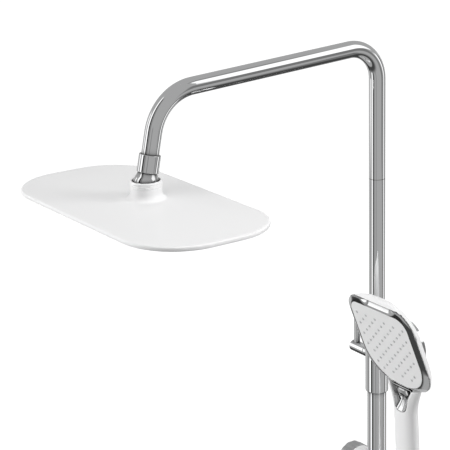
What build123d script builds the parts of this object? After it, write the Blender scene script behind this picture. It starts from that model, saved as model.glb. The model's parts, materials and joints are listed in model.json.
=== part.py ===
from build123d import *
import math
import os

# Frame: origin on the wall, at the centre of the upper wall plate.
# +Z is up, -Y points out of the wall to the user, +X runs along the wall. Millimetres and degrees.

# Clearances
RUN_GAP = 0.05        # radial, round pieces that turn or slide in each other
SEAT_GAP = 0.05       # radial, round pieces seated in each other
FACE_GAP = 0.3        # between faces of pieces that move past each other
JOINT_LINE = 0.5      # open line where the arm meets the riser
OVERLAP = 1.0         # how far a cut or a blended piece runs past the face it meets

# Riser tubes
WALL_REACH = 48.0           # wall face to riser axis
TUBE_WALL = 1.2
UPPER_TUBE_D = 20.0
UPPER_TUBE_TOP = 230.0
UPPER_TUBE_LENGTH = 430.0
LOWER_TUBE_D = 24.0
LOWER_TUBE_TOP = -12.0
LOWER_TUBE_LENGTH = 536.0

# Telescope piston, guide bush and arm union
PISTON_LENGTH = 12.0
PISTON_SPIGOT = 12.0
PISTON_WALL = 2.6
RING_CORD_D = 1.8           # O-ring cord
UNION_LENGTH = 50.0
UNION_WALL = 1.6
UNION_RING_CORD = 1.2
BUSH_LENGTH = 22.0
BUSH_SLIT = 1.6

# Clamp sleeve and its lever
SLEEVE_D = 28.8
SLEEVE_TOP = 14.0
SLEEVE_BOTTOM = -46.0
SLEEVE_EDGE = 1.2
LEVER_Z = 0.0
LEVER_BOSS_REACH = 20.0
LEVER_HUB_D = 14.0
LEVER_HUB_LENGTH = 27.0
LEVER_HUB_EDGE = 1.0
LEVER_POST_D = 8.0
LEVER_POST_TOP = 46.0
LEVER_POST_INSET = 7.6      # hub end to post axis
STUD_D = 6.0
STUD_TO_POST = 1.0

# Wall brackets, upper and lower
BRACKET_POST_D = 16.0
BRACKET_BOSS_D = 22.0
BRACKET_BOSS_REACH = 26.0   # riser axis to the boss's wall-side face
BRACKET_SOCKET_DEPTH = 8.0
ROSETTE_D = 76.0
ROSETTE_DEPTH = 10.0
ROSETTE_WALL = 2.0
ROSETTE_EDGE = 1.6
PLATE_D = 60.0
PLATE_THICK = 3.8
PLATE_HUB_D = 26.0
WALL_SCREW_SPACING = 42.0
WALL_SCREW_HOLE_D = 5.2
GRUB_D = 3.0
LOWER_BRACKET_DROP = 38.0   # lower bracket axis below the diverter's top

# Gooseneck arm
ARM_CORNER_Z = 395.0        # where riser axis and arm axis cross
ARM_LENGTH = 305.0          # corner to corner
ARM_DROP = 2.75             # degrees below level, towards the head
RISER_BEND_R = 40.0
HEAD_BEND_R = 56.0
STEM_TILT = 12.0            # degrees from plumb
STEM_LENGTH = 75.0          # corner to tube end

# Ball joint of the rain head
NUT_D = 24.6
NUT_LENGTH = 20.2
NUT_LAP = 7.4               # how far the nut covers the tube end
NUT_EDGE = 0.8
SHANK_D = 18.4
BALL_NECK_D = 21.2          # where the ball's neck meets the nut
BALL_NECK_LATITUDE = 33.0   # degrees of latitude where the neck leaves the ball
BALL_D = 29.2
BALL_DROP = 11.9            # nut foot to ball centre
BALL_FOOT_LATITUDE = -65.0  # flat foot of the ball
BALL_BORE_D = 8.0
WASHER_THICK = 2.0
SEAT_THICK = 1.0
SEAT_RING_LOW = -26.0       # degrees of latitude on the ball
SEAT_RING_HIGH = -14.0
SEAT_CUP_LOW = -62.0
SEAT_CUP_HIGH = -48.0
LIP_LATITUDE = 6.5          # above this the collar's lip holds the ball

# Rain head
HEAD_WIDTH = 342.0
HEAD_DEPTH = 171.0
HEAD_CORNER_R = 67.5
HEAD_FORWARD = 7.56         # head centre in front of the ball centre
HEAD_RIM_HEIGHT = 5.0
HEAD_RIM_EDGE = 1.8
HEAD_DOME_INSET = 5.0
HEAD_DOME_RISE = 4.0
HEAD_CROWN_WIDTH = 48.0
HEAD_CROWN_DEPTH = 46.0
HEAD_CROWN_R = 22.0
HEAD_SKIN = 1.6
HEAD_BOSS_GAP = 0.8         # water passes between ball boss and mat
COLLAR_D = 36.0
COLLAR_TOP_RISE = 3.5       # collar rim above ball centre
COLLAR_HEIGHT = 18.45
COLLAR_GROOVES = 3
COLLAR_GROOVE_PITCH = 2.4
COLLAR_GROOVE_DEPTH = 0.5
COLLAR_FLARE = 3.6
BALL_TO_RIM = 20.74         # ball centre above the rim's top edge
SPRAY_PLATE_THICK = 2.2
SPRAY_PLATE_INSET = 3.4
SPRAY_PLATE_PROUD = 1.0
GASKET_WIDTH = 4.0
MAT_THICK = 1.4
NOZZLE_D = 4.0
NOZZLE_LENGTH = 2.0
NOZZLE_COLUMNS = 13
NOZZLE_ROWS = 6
NOZZLE_MARGIN = 12.0
HEAD_INLET_D = 12.0

# Slider on the lower tube
SLIDER_Z = -156.0
SLIDER_D = 40.0
SLIDER_LEFT = 36.0
SLIDER_RIGHT = 34.0
SLIDER_EDGE = 1.5
SLIDER_BUSH_WALL = 1.6
SLIDER_BUSH_HEIGHT = 26.0
KNOB_D = 42.0
KNOB_LENGTH = 17.0
KNOB_STUD_D = 8.0
KNOB_STUD_GRIP = 11.0
KNOB_FLUTES = 12
KNOB_FLUTE_D = 7.0
KNOB_FLUTE_DEPTH = 1.1
AXLE_D = 10.0
AXLE_LENGTH = 36.0
AXLE_IN_SLIDER = 16.0
AXLE_GROOVE = 1.2
AXLE_PIN_D = 3.0

# Hand-shower holder
HOLDER_X = 70.0
HOLDER_FORWARD = 5.0        # cone axis in front of the riser axis
HOLDER_LEAN = 3.25          # degrees, handle top leans to the user
HOLDER_HEIGHT = 34.0
HOLDER_WALL = 3.2
HOLDER_BOSS_D = 24.0
HOLDER_SLOT = 17.0
CONE_TOP_D = 27.0
CONE_TAPER = 3.6            # degrees

# Hand shower
HANDLE_WIDTH = 38.0
HANDLE_DEPTH = 21.0
HANDLE_OVAL_Z = 62.0        # where the round cone has become the oval handle
HANDLE_STRAIGHT = 108.0     # cone centre to where the neck starts to widen
HANDLE_BORE_D = 15.0
HANDLE_SECTIONS = 12
NECK_TOP_Z = 172.0
NECK_TOP_WIDTH = 78.0
NECK_TOP_DEPTH = 17.0
NECK_LEAD = 1.5             # neck top in front of the handle axis
NECK_BORE_D = 5.0
NECK_BORE_BACK = 4.0        # upper waterway behind the handle axis
NECK_BORE_FOOT = 98.0
NECK_BORE_TOP = 160.0
FACE_HEIGHT = 113.0
FACE_TOP_WIDTH = 102.8
FACE_FOOT_WIDTH = 105.2
FACE_TOP_R = 16.0
FACE_FOOT_R = 45.0
FACE_TILT = 18.2            # degrees from the handle axis
FACE_CENTRE_Z = 198.8       # along the handle from the cone centre
FACE_FORWARD = 22.6         # face centre in front of the handle axis
FACE_PLATE_THICK = 2.6
BEZEL_TOP = 64.5            # above the face centre
BEZEL_FOOT = 58.5           # below the face centre
BEZEL_TOP_WIDTH = 117.2
BEZEL_FOOT_WIDTH = 120.0
BEZEL_TOP_R = 25.0
BEZEL_FOOT_R = 37.0
BEZEL_DROP = 2.5            # how far the bezel slopes back to its outer edge
BEZEL_DEPTH = 5.0
BEZEL_EDGE = 0.6            # bezel's width at its front edge
BEZEL_PROUD = 0.2
SHELL_LIP = 1.0             # shell wider than the bezel
SHELL_LIP_BACK = 2.6        # shell's front edge behind the face
SHELL_COVER = 5.6           # how far back the shell keeps outside the bezel
SHELL_TOP = 67.9
SHELL_FOOT = 57.0
SHELL_TOP_WIDTH = 115.6
SHELL_FOOT_WIDTH = 115.2
SHELL_TOP_R = 38.0
SHELL_FOOT_R = 36.0
SHELL_SIDE = 8.0            # widest part of the shell behind the face
SHELL_BACK_TOP = 40.0
SHELL_BACK_FOOT = 44.0
SHELL_BACK_WIDTH = 60.0
SHELL_BACK_R = 20.0
SHELL_DEPTH = 24.0
SHELL_WALL = 2.4
CHAMBER_DEPTH = 12.0
HAND_MAT_THICK = 1.6
HAND_NOZZLE_D = 2.6
HAND_NOZZLE_LENGTH = 0.8
HAND_NOZZLE_PITCH = 17.0    # along a row
HAND_NOZZLE_ROW = 8.0       # from row to row
HAND_NOZZLE_MARGIN = 9.0
TRIM_TOP_WIDTH = 40.0       # thumb tray in the neck
TRIM_TOP_Z = 143.0
TRIM_WAIST_WIDTH = 27.0
TRIM_WAIST_Z = 130.0
TRIM_FOOT_WIDTH = 18.0
TRIM_FOOT_Z = 111.0
TRIM_FOOT_R = 7.5
TRIM_FOOT_REACH = 10.0      # tray rim in front of the handle axis, at its foot
TRIM_TOP_REACH = 6.0
TRIM_FLOOR_REACH = 4.2
TRIM_FLOOR_THICK = 1.4
TRIM_RIM = 1.6
BUTTON_WIDTH = 23.0
BUTTON_HEIGHT = 11.0
BUTTON_Z = 134.5
BUTTON_FORWARD = 5.4        # button face in front of the handle axis
BUTTON_LENGTH = 4.2
BUTTON_TRAVEL = 1.2
SPRING_D = 7.0
SPRING_WALL = 0.8
SPRING_SEAT = 2.6
PIPE_THREAD_D = 20.955      # half-inch pipe thread, outside
PIPE_BORE_D = 9.0
NIPPLE_LENGTH = 16.0

# Diverter at the foot of the column
DIVERTER_D = 34.0
DIVERTER_HEIGHT = 66.0
DIVERTER_EDGE = 1.5
TUBE_SOCKET = 14.0
GLAND_D = 32.8
GLAND_HEIGHT = 16.0
CARTRIDGE_D = 22.0
CARTRIDGE_FRONT = 27.0      # in front of the riser axis
CARTRIDGE_BACK = 6.0
CARTRIDGE_BOSS_D = 30.0
CARTRIDGE_BOSS_REACH = 24.0
SPINDLE_D = 8.0
SPINDLE_GRIP = 14.0
DIVERTER_KNOB_D = 36.0
DIVERTER_KNOB_LENGTH = 22.0
KNOB_STANDOFF = 1.0
KNOB_BAR_WIDTH = 7.0
KNOB_BAR_HEIGHT = 5.0
SIDE_BOSS_D = 28.0
SIDE_BOSS_REACH = 20.0
WATERWAY_D = 16.0
NIPPLE_FLANGE_D = 26.0
NIPPLE_FLANGE = 3.0
NIPPLE_SPIGOT = 8.0
NIPPLE_SPIGOT_D = 19.9

# Places worked out from the sizes above
RISER_Y = -WALL_REACH
UPPER_R = UPPER_TUBE_D / 2
UPPER_BORE_R = UPPER_R - TUBE_WALL
LOWER_R = LOWER_TUBE_D / 2
LOWER_BORE_R = LOWER_R - TUBE_WALL
UPPER_TUBE_FOOT = UPPER_TUBE_TOP - UPPER_TUBE_LENGTH
LOWER_TUBE_FOOT = LOWER_TUBE_TOP - LOWER_TUBE_LENGTH
ARM_START_Z = UPPER_TUBE_TOP + JOINT_LINE
SLEEVE_BORE_R = LOWER_R + SEAT_GAP
DIVERTER_TOP = LOWER_TUBE_FOOT + TUBE_SOCKET
DIVERTER_FOOT = DIVERTER_TOP - DIVERTER_HEIGHT
LOWER_BRACKET_Z = DIVERTER_TOP - LOWER_BRACKET_DROP
BASE = (Align.CENTER, Align.CENTER, Align.MIN)


def upright(diameter, low, high, x=0.0, y=RISER_Y):
    """Cylinder along Z between two heights."""
    return Pos(x, y, low) * Cylinder(diameter / 2, high - low, align=BASE)


def along_x(diameter, start, end, y, z):
    """Cylinder along X between two places."""
    return Pos(start, y, z) * Rot(0, 90, 0) * Cylinder(diameter / 2, end - start, align=BASE)


def along_y(diameter, start, end, x, z):
    """Cylinder along Y between two places."""
    return Pos(x, start, z) * Rot(-90, 0, 0) * Cylinder(diameter / 2, end - start, align=BASE)


def turned(*profile):
    """Solid turned about Z from (radius, height) points."""
    return revolve(make_face(Plane.XZ * Polyline(*profile, close=True)), Axis.Z)


def ring_seal(inner_d, cord_d):
    """O-ring about Z whose inside diameter is given."""
    return Torus(inner_d / 2 + cord_d / 2, cord_d / 2)


def ball_zone(inner_r, outer_r, low, high):
    """Ring between two spheres and two latitudes, about Z."""
    def at(radius, latitude):
        angle = math.radians(latitude)
        return radius * math.cos(angle), radius * math.sin(angle)

    middle = (low + high) / 2
    edge = [
        Line(at(inner_r, low), at(outer_r, low)),
        ThreePointArc(at(outer_r, low), at(outer_r, middle), at(outer_r, high)),
        Line(at(outer_r, high), at(inner_r, high)),
        ThreePointArc(at(inner_r, high), at(inner_r, middle), at(inner_r, low)),
    ]
    return revolve(make_face(Plane.XZ * Wire(edge)), Axis.Z)


NODES = {}


def keep(name, shape):
    """Name a finished piece of the assembly."""
    NODES[name] = shape


# Riser
def lower_riser_tube():
    outside = upright(LOWER_TUBE_D, LOWER_TUBE_FOOT, LOWER_TUBE_TOP)
    return outside - upright(2 * LOWER_BORE_R, LOWER_TUBE_FOOT, LOWER_TUBE_TOP)


def upper_riser_tube():
    outside = upright(UPPER_TUBE_D, UPPER_TUBE_FOOT, UPPER_TUBE_TOP)
    return outside - upright(2 * UPPER_BORE_R, UPPER_TUBE_FOOT, UPPER_TUBE_TOP)


PISTON_R = LOWER_BORE_R - RUN_GAP
PISTON_GROOVE_R = PISTON_R - RING_CORD_D - SEAT_GAP
PISTON_RING_Z = UPPER_TUBE_FOOT - PISTON_LENGTH / 2


def telescope_piston():
    body = upright(2 * PISTON_R, UPPER_TUBE_FOOT - PISTON_LENGTH, UPPER_TUBE_FOOT)
    spigot_d = 2 * (UPPER_BORE_R - SEAT_GAP)
    body += upright(spigot_d, UPPER_TUBE_FOOT, UPPER_TUBE_FOOT + PISTON_SPIGOT)
    half = RING_CORD_D / 2 + SEAT_GAP
    groove = upright(2 * PISTON_R + OVERLAP, PISTON_RING_Z - half, PISTON_RING_Z + half)
    groove -= upright(2 * PISTON_GROOVE_R, PISTON_RING_Z - half, PISTON_RING_Z + half)
    bore_d = 2 * (PISTON_GROOVE_R - PISTON_WALL)
    bore = upright(bore_d, UPPER_TUBE_FOOT - PISTON_LENGTH, UPPER_TUBE_FOOT + PISTON_SPIGOT)
    return body - groove - bore


def telescope_seal():
    inner_d = 2 * (PISTON_R - RING_CORD_D)
    return Pos(0, RISER_Y, PISTON_RING_Z) * ring_seal(inner_d, RING_CORD_D)


UNION_R = UPPER_BORE_R - RUN_GAP
UNION_RING_Z = UPPER_TUBE_TOP + UNION_LENGTH / 4


def arm_union():
    low = UPPER_TUBE_TOP - UNION_LENGTH / 2
    high = UPPER_TUBE_TOP + UNION_LENGTH / 2
    body = upright(2 * UNION_R, low, high)
    half = UNION_RING_CORD / 2 + SEAT_GAP
    floor_d = 2 * (UNION_R - UNION_RING_CORD - SEAT_GAP)
    groove = upright(2 * UNION_R + OVERLAP, UNION_RING_Z - half, UNION_RING_Z + half)
    groove -= upright(floor_d, UNION_RING_Z - half, UNION_RING_Z + half)
    return body - groove - upright(floor_d - 2 * UNION_WALL, low, high)


def union_seal():
    inner_d = 2 * (UNION_R - UNION_RING_CORD)
    return Pos(0, RISER_Y, UNION_RING_Z) * ring_seal(inner_d, UNION_RING_CORD)


# Clamp sleeve
BUSH_FOOT = LOWER_TUBE_TOP
BUSH_TOP = BUSH_FOOT + BUSH_LENGTH
HUB_START = -LEVER_BOSS_REACH - FACE_GAP
HUB_END = HUB_START - LEVER_HUB_LENGTH
POST_X = HUB_END + LEVER_POST_INSET
STUD_TIP = -(SLEEVE_BORE_R + SEAT_GAP)
STUD_END = POST_X + LEVER_POST_D / 2 + STUD_TO_POST


def bracket_socket(z):
    """Boss behind the riser that takes a bracket post, and the hole in it."""
    reach = RISER_Y + BRACKET_BOSS_REACH
    boss = along_y(BRACKET_BOSS_D, RISER_Y, reach, 0, z)
    hole = along_y(BRACKET_POST_D + 2 * SEAT_GAP, reach - BRACKET_SOCKET_DEPTH, reach, 0, z)
    return boss, hole


def clamp_sleeve():
    body = upright(SLEEVE_D, SLEEVE_BOTTOM, SLEEVE_TOP)
    rims = body.edges().filter_by(GeomType.CIRCLE)
    body = fillet(rims, SLEEVE_EDGE)
    boss, hole = bracket_socket(LEVER_Z)
    body += boss
    body += along_x(LEVER_HUB_D, -LEVER_BOSS_REACH, 0, RISER_Y, LEVER_Z)
    body -= hole
    body -= upright(2 * SLEEVE_BORE_R, SLEEVE_BOTTOM, BUSH_TOP)
    body -= upright(UPPER_TUBE_D + 2 * FACE_GAP, BUSH_TOP, SLEEVE_TOP)
    return body - along_x(STUD_D + 2 * RUN_GAP, -LEVER_BOSS_REACH, 0, RISER_Y, LEVER_Z)


def guide_bush():
    body = upright(2 * LOWER_R, BUSH_FOOT, BUSH_TOP)
    body -= upright(UPPER_TUBE_D + 2 * RUN_GAP, BUSH_FOOT, BUSH_TOP)
    slit = Pos(0, RISER_Y + LOWER_R, (BUSH_FOOT + BUSH_TOP) / 2)
    return body - slit * Box(BUSH_SLIT, LOWER_R, BUSH_LENGTH)


def lever_hub():
    hub = along_x(LEVER_HUB_D, HUB_END, HUB_START, RISER_Y, LEVER_Z)
    hub = fillet(hub.edges().filter_by(GeomType.CIRCLE), LEVER_HUB_EDGE)
    hub -= along_x(STUD_D + 2 * SEAT_GAP, STUD_END, HUB_START, RISER_Y, LEVER_Z)
    return hub - upright(LEVER_POST_D + 2 * SEAT_GAP, LEVER_Z, LEVER_Z + LEVER_HUB_D, POST_X)


def lever_post():
    post = upright(LEVER_POST_D, LEVER_Z, LEVER_POST_TOP - LEVER_POST_D / 2, POST_X)
    return post + Pos(POST_X, RISER_Y, LEVER_POST_TOP - LEVER_POST_D / 2) * Sphere(LEVER_POST_D / 2)


def clamp_stud():
    return along_x(STUD_D, STUD_END, STUD_TIP, RISER_Y, LEVER_Z)


# Wall brackets
PLATE_FRONT = -PLATE_THICK
PLATE_HUB_FRONT = -ROSETTE_DEPTH + ROSETTE_WALL + FACE_GAP
GRUB_LENGTH = (PLATE_HUB_D - BRACKET_POST_D) / 2 - 4 * SEAT_GAP


def bracket_post(z):
    start = RISER_Y + BRACKET_BOSS_REACH - BRACKET_SOCKET_DEPTH
    return along_y(BRACKET_POST_D, start, -SEAT_GAP, 0, z)


def rosette(z):
    cup = along_y(ROSETTE_D, -ROSETTE_DEPTH, 0, 0, z)
    front = cup.edges().filter_by(GeomType.CIRCLE).sort_by(Axis.Y)[0]
    cup = fillet(front, ROSETTE_EDGE)
    cup -= along_y(ROSETTE_D - 2 * ROSETTE_WALL, -ROSETTE_DEPTH + ROSETTE_WALL, 0, 0, z)
    return cup - along_y(BRACKET_POST_D + 2 * SEAT_GAP, -ROSETTE_DEPTH, 0, 0, z)


def wall_plate(z):
    plate = along_y(PLATE_D, PLATE_FRONT, 0, 0, z)
    plate += along_y(PLATE_HUB_D, PLATE_HUB_FRONT, 0, 0, z)
    plate -= along_y(BRACKET_POST_D + 2 * SEAT_GAP, PLATE_HUB_FRONT, 0, 0, z)
    for side in (-1, 1):
        x = side * WALL_SCREW_SPACING / 2
        plate -= along_y(WALL_SCREW_HOLE_D, PLATE_FRONT, 0, x, z)
    grub_y = (PLATE_HUB_FRONT + PLATE_FRONT) / 2
    return plate - upright(GRUB_D + 2 * SEAT_GAP, z - PLATE_HUB_D / 2, z, 0, grub_y)


def bracket_grub_screw(z):
    grub_y = (PLATE_HUB_FRONT + PLATE_FRONT) / 2
    high = z - BRACKET_POST_D / 2 - 2 * SEAT_GAP
    return upright(GRUB_D, high - GRUB_LENGTH, high, 0, grub_y)


# Gooseneck arm and ball joint
ARM_FALL = math.radians(ARM_DROP)
STEM_LEAN = math.radians(STEM_TILT)
RISER_CORNER = Vector(0, RISER_Y, ARM_CORNER_Z)
HEAD_CORNER = RISER_CORNER + Vector(0, -math.cos(ARM_FALL), -math.sin(ARM_FALL)) * ARM_LENGTH
STEM_DOWN = Vector(0, -math.sin(STEM_LEAN), -math.cos(STEM_LEAN))
STEM_END = HEAD_CORNER + STEM_DOWN * STEM_LENGTH
STEM_FRAME = Pos(*STEM_END) * Rot(-STEM_TILT, 0, 0)
NUT_FOOT = NUT_LAP - NUT_LENGTH
BALL_LOCAL_Z = NUT_FOOT - BALL_DROP
BALL_CENTRE = STEM_END - STEM_DOWN * BALL_LOCAL_Z


def gooseneck_arm():
    start = Vector(0, RISER_Y, ARM_START_Z)
    route = FilletPolyline(
        start, RISER_CORNER, HEAD_CORNER, STEM_END, radius=[RISER_BEND_R, HEAD_BEND_R]
    )
    section = Circle(UPPER_R) - Circle(UPPER_BORE_R)
    return sweep(Pos(*start) * section, path=route)


def stem_nut():
    outer = NUT_D / 2
    bore = UPPER_R + SEAT_GAP
    thread = SHANK_D / 2 + SEAT_GAP
    nut = turned(
        (thread, NUT_FOOT), (outer - NUT_EDGE, NUT_FOOT), (outer, NUT_FOOT + NUT_EDGE),
        (outer, NUT_LAP - NUT_EDGE), (outer - NUT_EDGE, NUT_LAP), (bore, NUT_LAP),
        (bore, 0), (thread, 0),
    )
    return STEM_FRAME * nut


def stem_washer():
    washer = Pos(0, 0, -WASHER_THICK) * Cylinder(SHANK_D / 2, WASHER_THICK, align=BASE)
    bore = Pos(0, 0, -WASHER_THICK) * Cylinder(BALL_BORE_D / 2, WASHER_THICK, align=BASE)
    return STEM_FRAME * (washer - bore)


def swivel_ball():
    shank = SHANK_D / 2
    latitude = math.radians(BALL_NECK_LATITUDE)
    neck_r = BALL_D / 2 * math.cos(latitude)
    neck_foot = BALL_LOCAL_Z + BALL_D / 2 * math.sin(latitude)
    body = turned(
        (0, -WASHER_THICK), (shank, -WASHER_THICK), (shank, NUT_FOOT), (BALL_NECK_D / 2, NUT_FOOT),
        (neck_r, neck_foot), (0, neck_foot),
    )
    body += Pos(0, 0, BALL_LOCAL_Z) * Sphere(BALL_D / 2, arc_size1=BALL_FOOT_LATITUDE, align=None)
    foot = BALL_LOCAL_Z - BALL_D / 2
    bore = Pos(0, 0, foot) * Cylinder(BALL_BORE_D / 2, -foot, align=BASE)
    return STEM_FRAME * (body - bore)


# Rain head
SEAT_INNER_R = BALL_D / 2 + RUN_GAP
SEAT_OUTER_R = BALL_D / 2 + SEAT_THICK
SOCKET_R = SEAT_OUTER_R + FACE_GAP
LIP_R = BALL_D / 2 + FACE_GAP
BALL_Y = BALL_CENTRE.Y
HEAD_Y = BALL_Y - HEAD_FORWARD
HEAD_RIM_TOP = BALL_CENTRE.Z - BALL_TO_RIM
HEAD_RIM_FOOT = HEAD_RIM_TOP - HEAD_RIM_HEIGHT
HEAD_CROWN_Z = HEAD_RIM_TOP + HEAD_DOME_RISE
COLLAR_RIM_Z = BALL_CENTRE.Z + COLLAR_TOP_RISE
COLLAR_FOOT = COLLAR_RIM_Z - COLLAR_HEIGHT
SPRAY_PLATE_FOOT = HEAD_RIM_FOOT - SPRAY_PLATE_PROUD
PLATE_TOP_Z = SPRAY_PLATE_FOOT + SPRAY_PLATE_THICK
HEAD_CEILING = HEAD_RIM_TOP - HEAD_SKIN


def ball_socket():
    """Room for the ball and its seats, narrower at the collar's lip."""
    room = Sphere(SOCKET_R, arc_size2=LIP_LATITUDE, align=None) + Sphere(LIP_R)
    return Pos(*BALL_CENTRE) * room


def ball_seat_ring():
    return Pos(*BALL_CENTRE) * ball_zone(SEAT_INNER_R, SEAT_OUTER_R, SEAT_RING_LOW, SEAT_RING_HIGH)


def ball_seat_cup():
    return Pos(*BALL_CENTRE) * ball_zone(SEAT_INNER_R, SEAT_OUTER_R, SEAT_CUP_LOW, SEAT_CUP_HIGH)


def head_outline(inset, z):
    """Face of the rain head's rounded outline, drawn in by an inset, at a height."""
    width = HEAD_WIDTH - 2 * inset
    depth = HEAD_DEPTH - 2 * inset
    return Pos(0, HEAD_Y, z) * RectangleRounded(width, depth, HEAD_CORNER_R - inset)


def head_slab(inset, low, high):
    return extrude(head_outline(inset, low), high - low)


def head_dome(inset, low, high):
    """Shallow dome from the outline up to a round crown."""
    crown = RectangleRounded(HEAD_CROWN_WIDTH, HEAD_CROWN_DEPTH, HEAD_CROWN_R)
    return loft([head_outline(inset, low), Pos(0, BALL_Y, high) * crown])


def ball_collar():
    outer = COLLAR_D / 2
    body = upright(COLLAR_D, COLLAR_FOOT, COLLAR_RIM_Z, 0, BALL_Y)
    for index in range(COLLAR_GROOVES):
        z = COLLAR_RIM_Z - COLLAR_GROOVE_PITCH * (index + 1)
        groove = Torus(outer, COLLAR_GROOVE_DEPTH)
        body -= Pos(0, BALL_Y, z) * groove
    return body - ball_socket()


def rain_cover():
    shell = head_slab(0, HEAD_RIM_FOOT, HEAD_RIM_TOP)
    top_rim = shell.edges().group_by(Axis.Z)[-1]
    shell = fillet(top_rim, HEAD_RIM_EDGE)
    shell += head_dome(HEAD_DOME_INSET, HEAD_RIM_TOP, HEAD_CROWN_Z)
    flare_r = COLLAR_D / 2 + COLLAR_FLARE
    flare = turned(
        (0, HEAD_CROWN_Z - OVERLAP), (flare_r, HEAD_CROWN_Z - OVERLAP), (flare_r, HEAD_CROWN_Z),
        (COLLAR_D / 2, COLLAR_FOOT), (0, COLLAR_FOOT),
    )
    shell += Pos(0, BALL_Y, 0) * flare
    chamber = head_slab(SPRAY_PLATE_INSET, HEAD_RIM_FOOT, HEAD_CEILING)
    dome_inset = SPRAY_PLATE_INSET + HEAD_DOME_INSET
    chamber += head_dome(dome_inset, HEAD_CEILING, HEAD_CROWN_Z - HEAD_SKIN)
    chamber -= upright(COLLAR_D, MAT_TOP_Z + HEAD_BOSS_GAP, HEAD_CROWN_Z, 0, BALL_Y)
    shell -= chamber
    shell -= ball_socket()
    return shell - upright(HEAD_INLET_D, HEAD_RIM_FOOT, BALL_CENTRE.Z, 0, BALL_Y)


MAT_TOP_Z = PLATE_TOP_Z + MAT_THICK
NOZZLE_FOOT = SPRAY_PLATE_FOOT - NOZZLE_LENGTH


def nozzle_places():
    """Staggered nozzle centres that lie inside the rounded outline."""
    places = []
    reach_x = HEAD_WIDTH / 2 - NOZZLE_MARGIN
    reach_y = HEAD_DEPTH / 2 - NOZZLE_MARGIN
    corner = HEAD_CORNER_R - NOZZLE_MARGIN
    pitch_x = 2 * reach_x / NOZZLE_COLUMNS
    pitch_y = 2 * reach_y / NOZZLE_ROWS
    for row in range(NOZZLE_ROWS):
        y = (row - (NOZZLE_ROWS - 1) / 2) * pitch_y
        for column in range(NOZZLE_COLUMNS):
            shift = (row % 2 - 0.5) / 2
            x = (column - (NOZZLE_COLUMNS - 1) / 2 + shift) * pitch_x
            over_x = max(abs(x) - reach_x + corner, 0)
            over_y = max(abs(y) - reach_y + corner, 0)
            if math.hypot(over_x, over_y) <= corner:
                places.append((x, HEAD_Y + y))
    return places


def nozzle_pins(diameter, low, high):
    """Upright pins, one for every nozzle."""
    return [upright(diameter, low, high, x, y) for x, y in nozzle_places()]


def rain_spray_plate():
    plate = head_slab(SPRAY_PLATE_INSET + SEAT_GAP, SPRAY_PLATE_FOOT, PLATE_TOP_Z)
    return plate - nozzle_pins(NOZZLE_D + 4 * SEAT_GAP, SPRAY_PLATE_FOOT, PLATE_TOP_Z)


def rain_nozzle_mat():
    mat = head_slab(SPRAY_PLATE_INSET + SEAT_GAP, PLATE_TOP_Z, MAT_TOP_Z)
    return mat + nozzle_pins(NOZZLE_D, NOZZLE_FOOT, PLATE_TOP_Z)


def rain_gasket():
    outer = head_slab(SPRAY_PLATE_INSET + SEAT_GAP, MAT_TOP_Z, HEAD_CEILING)
    return outer - head_slab(SPRAY_PLATE_INSET + GASKET_WIDTH, MAT_TOP_Z, HEAD_CEILING)


# Slider
SLIDER_BUSH_D = LOWER_TUBE_D + 2 * RUN_GAP + 2 * SLIDER_BUSH_WALL
KNOB_START = -SLIDER_LEFT - FACE_GAP
KNOB_END = KNOB_START - KNOB_LENGTH
STUD_FAR = KNOB_START - KNOB_STUD_GRIP
AXLE_START = SLIDER_RIGHT - AXLE_IN_SLIDER
AXLE_GROOVE_X = AXLE_START + AXLE_IN_SLIDER / 2
AXLE_PIN_Z = SLIDER_Z + AXLE_D / 2 - AXLE_GROOVE + AXLE_PIN_D / 2 + RUN_GAP
AXLE_PIN_END = RISER_Y + AXLE_D / 2


def slider_bush():
    low = SLIDER_Z - SLIDER_BUSH_HEIGHT / 2
    high = SLIDER_Z + SLIDER_BUSH_HEIGHT / 2
    bush = upright(SLIDER_BUSH_D, low, high)
    return bush - upright(LOWER_TUBE_D + 2 * RUN_GAP, low, high)


def slider_body():
    barrel = along_x(SLIDER_D, -SLIDER_LEFT, SLIDER_RIGHT, RISER_Y, SLIDER_Z)
    barrel = fillet(barrel.edges().filter_by(GeomType.CIRCLE), SLIDER_EDGE)
    low = SLIDER_Z - SLIDER_D / 2
    high = SLIDER_Z + SLIDER_D / 2
    barrel -= upright(SLIDER_BUSH_D + 2 * RUN_GAP, low, high)
    barrel -= along_x(KNOB_STUD_D + 2 * RUN_GAP, -SLIDER_LEFT, 0, RISER_Y, SLIDER_Z)
    barrel -= along_x(AXLE_D + 2 * RUN_GAP, AXLE_START - FACE_GAP, SLIDER_RIGHT, RISER_Y, SLIDER_Z)
    pin_hole_d = AXLE_PIN_D + 2 * SEAT_GAP
    return barrel - along_y(pin_hole_d, RISER_Y - SLIDER_D / 2, AXLE_PIN_END, AXLE_GROOVE_X, AXLE_PIN_Z)


def axle_pin():
    start = RISER_Y - SLIDER_D / 2 + AXLE_PIN_D
    return along_y(AXLE_PIN_D, start, AXLE_PIN_END, AXLE_GROOVE_X, AXLE_PIN_Z)


def slider_knob():
    knob = along_x(KNOB_D, KNOB_END, KNOB_START, RISER_Y, SLIDER_Z)
    knob = fillet(knob.edges().filter_by(GeomType.CIRCLE), SLIDER_EDGE)
    flute_r = KNOB_D / 2 + KNOB_FLUTE_D / 2 - KNOB_FLUTE_DEPTH
    for index in range(KNOB_FLUTES):
        turn = math.tau * index / KNOB_FLUTES
        y = RISER_Y + flute_r * math.cos(turn)
        z = SLIDER_Z + flute_r * math.sin(turn)
        knob -= along_x(KNOB_FLUTE_D, KNOB_END, KNOB_START, y, z)
    return knob - along_x(KNOB_STUD_D + 2 * SEAT_GAP, STUD_FAR, KNOB_START, RISER_Y, SLIDER_Z)


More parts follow.
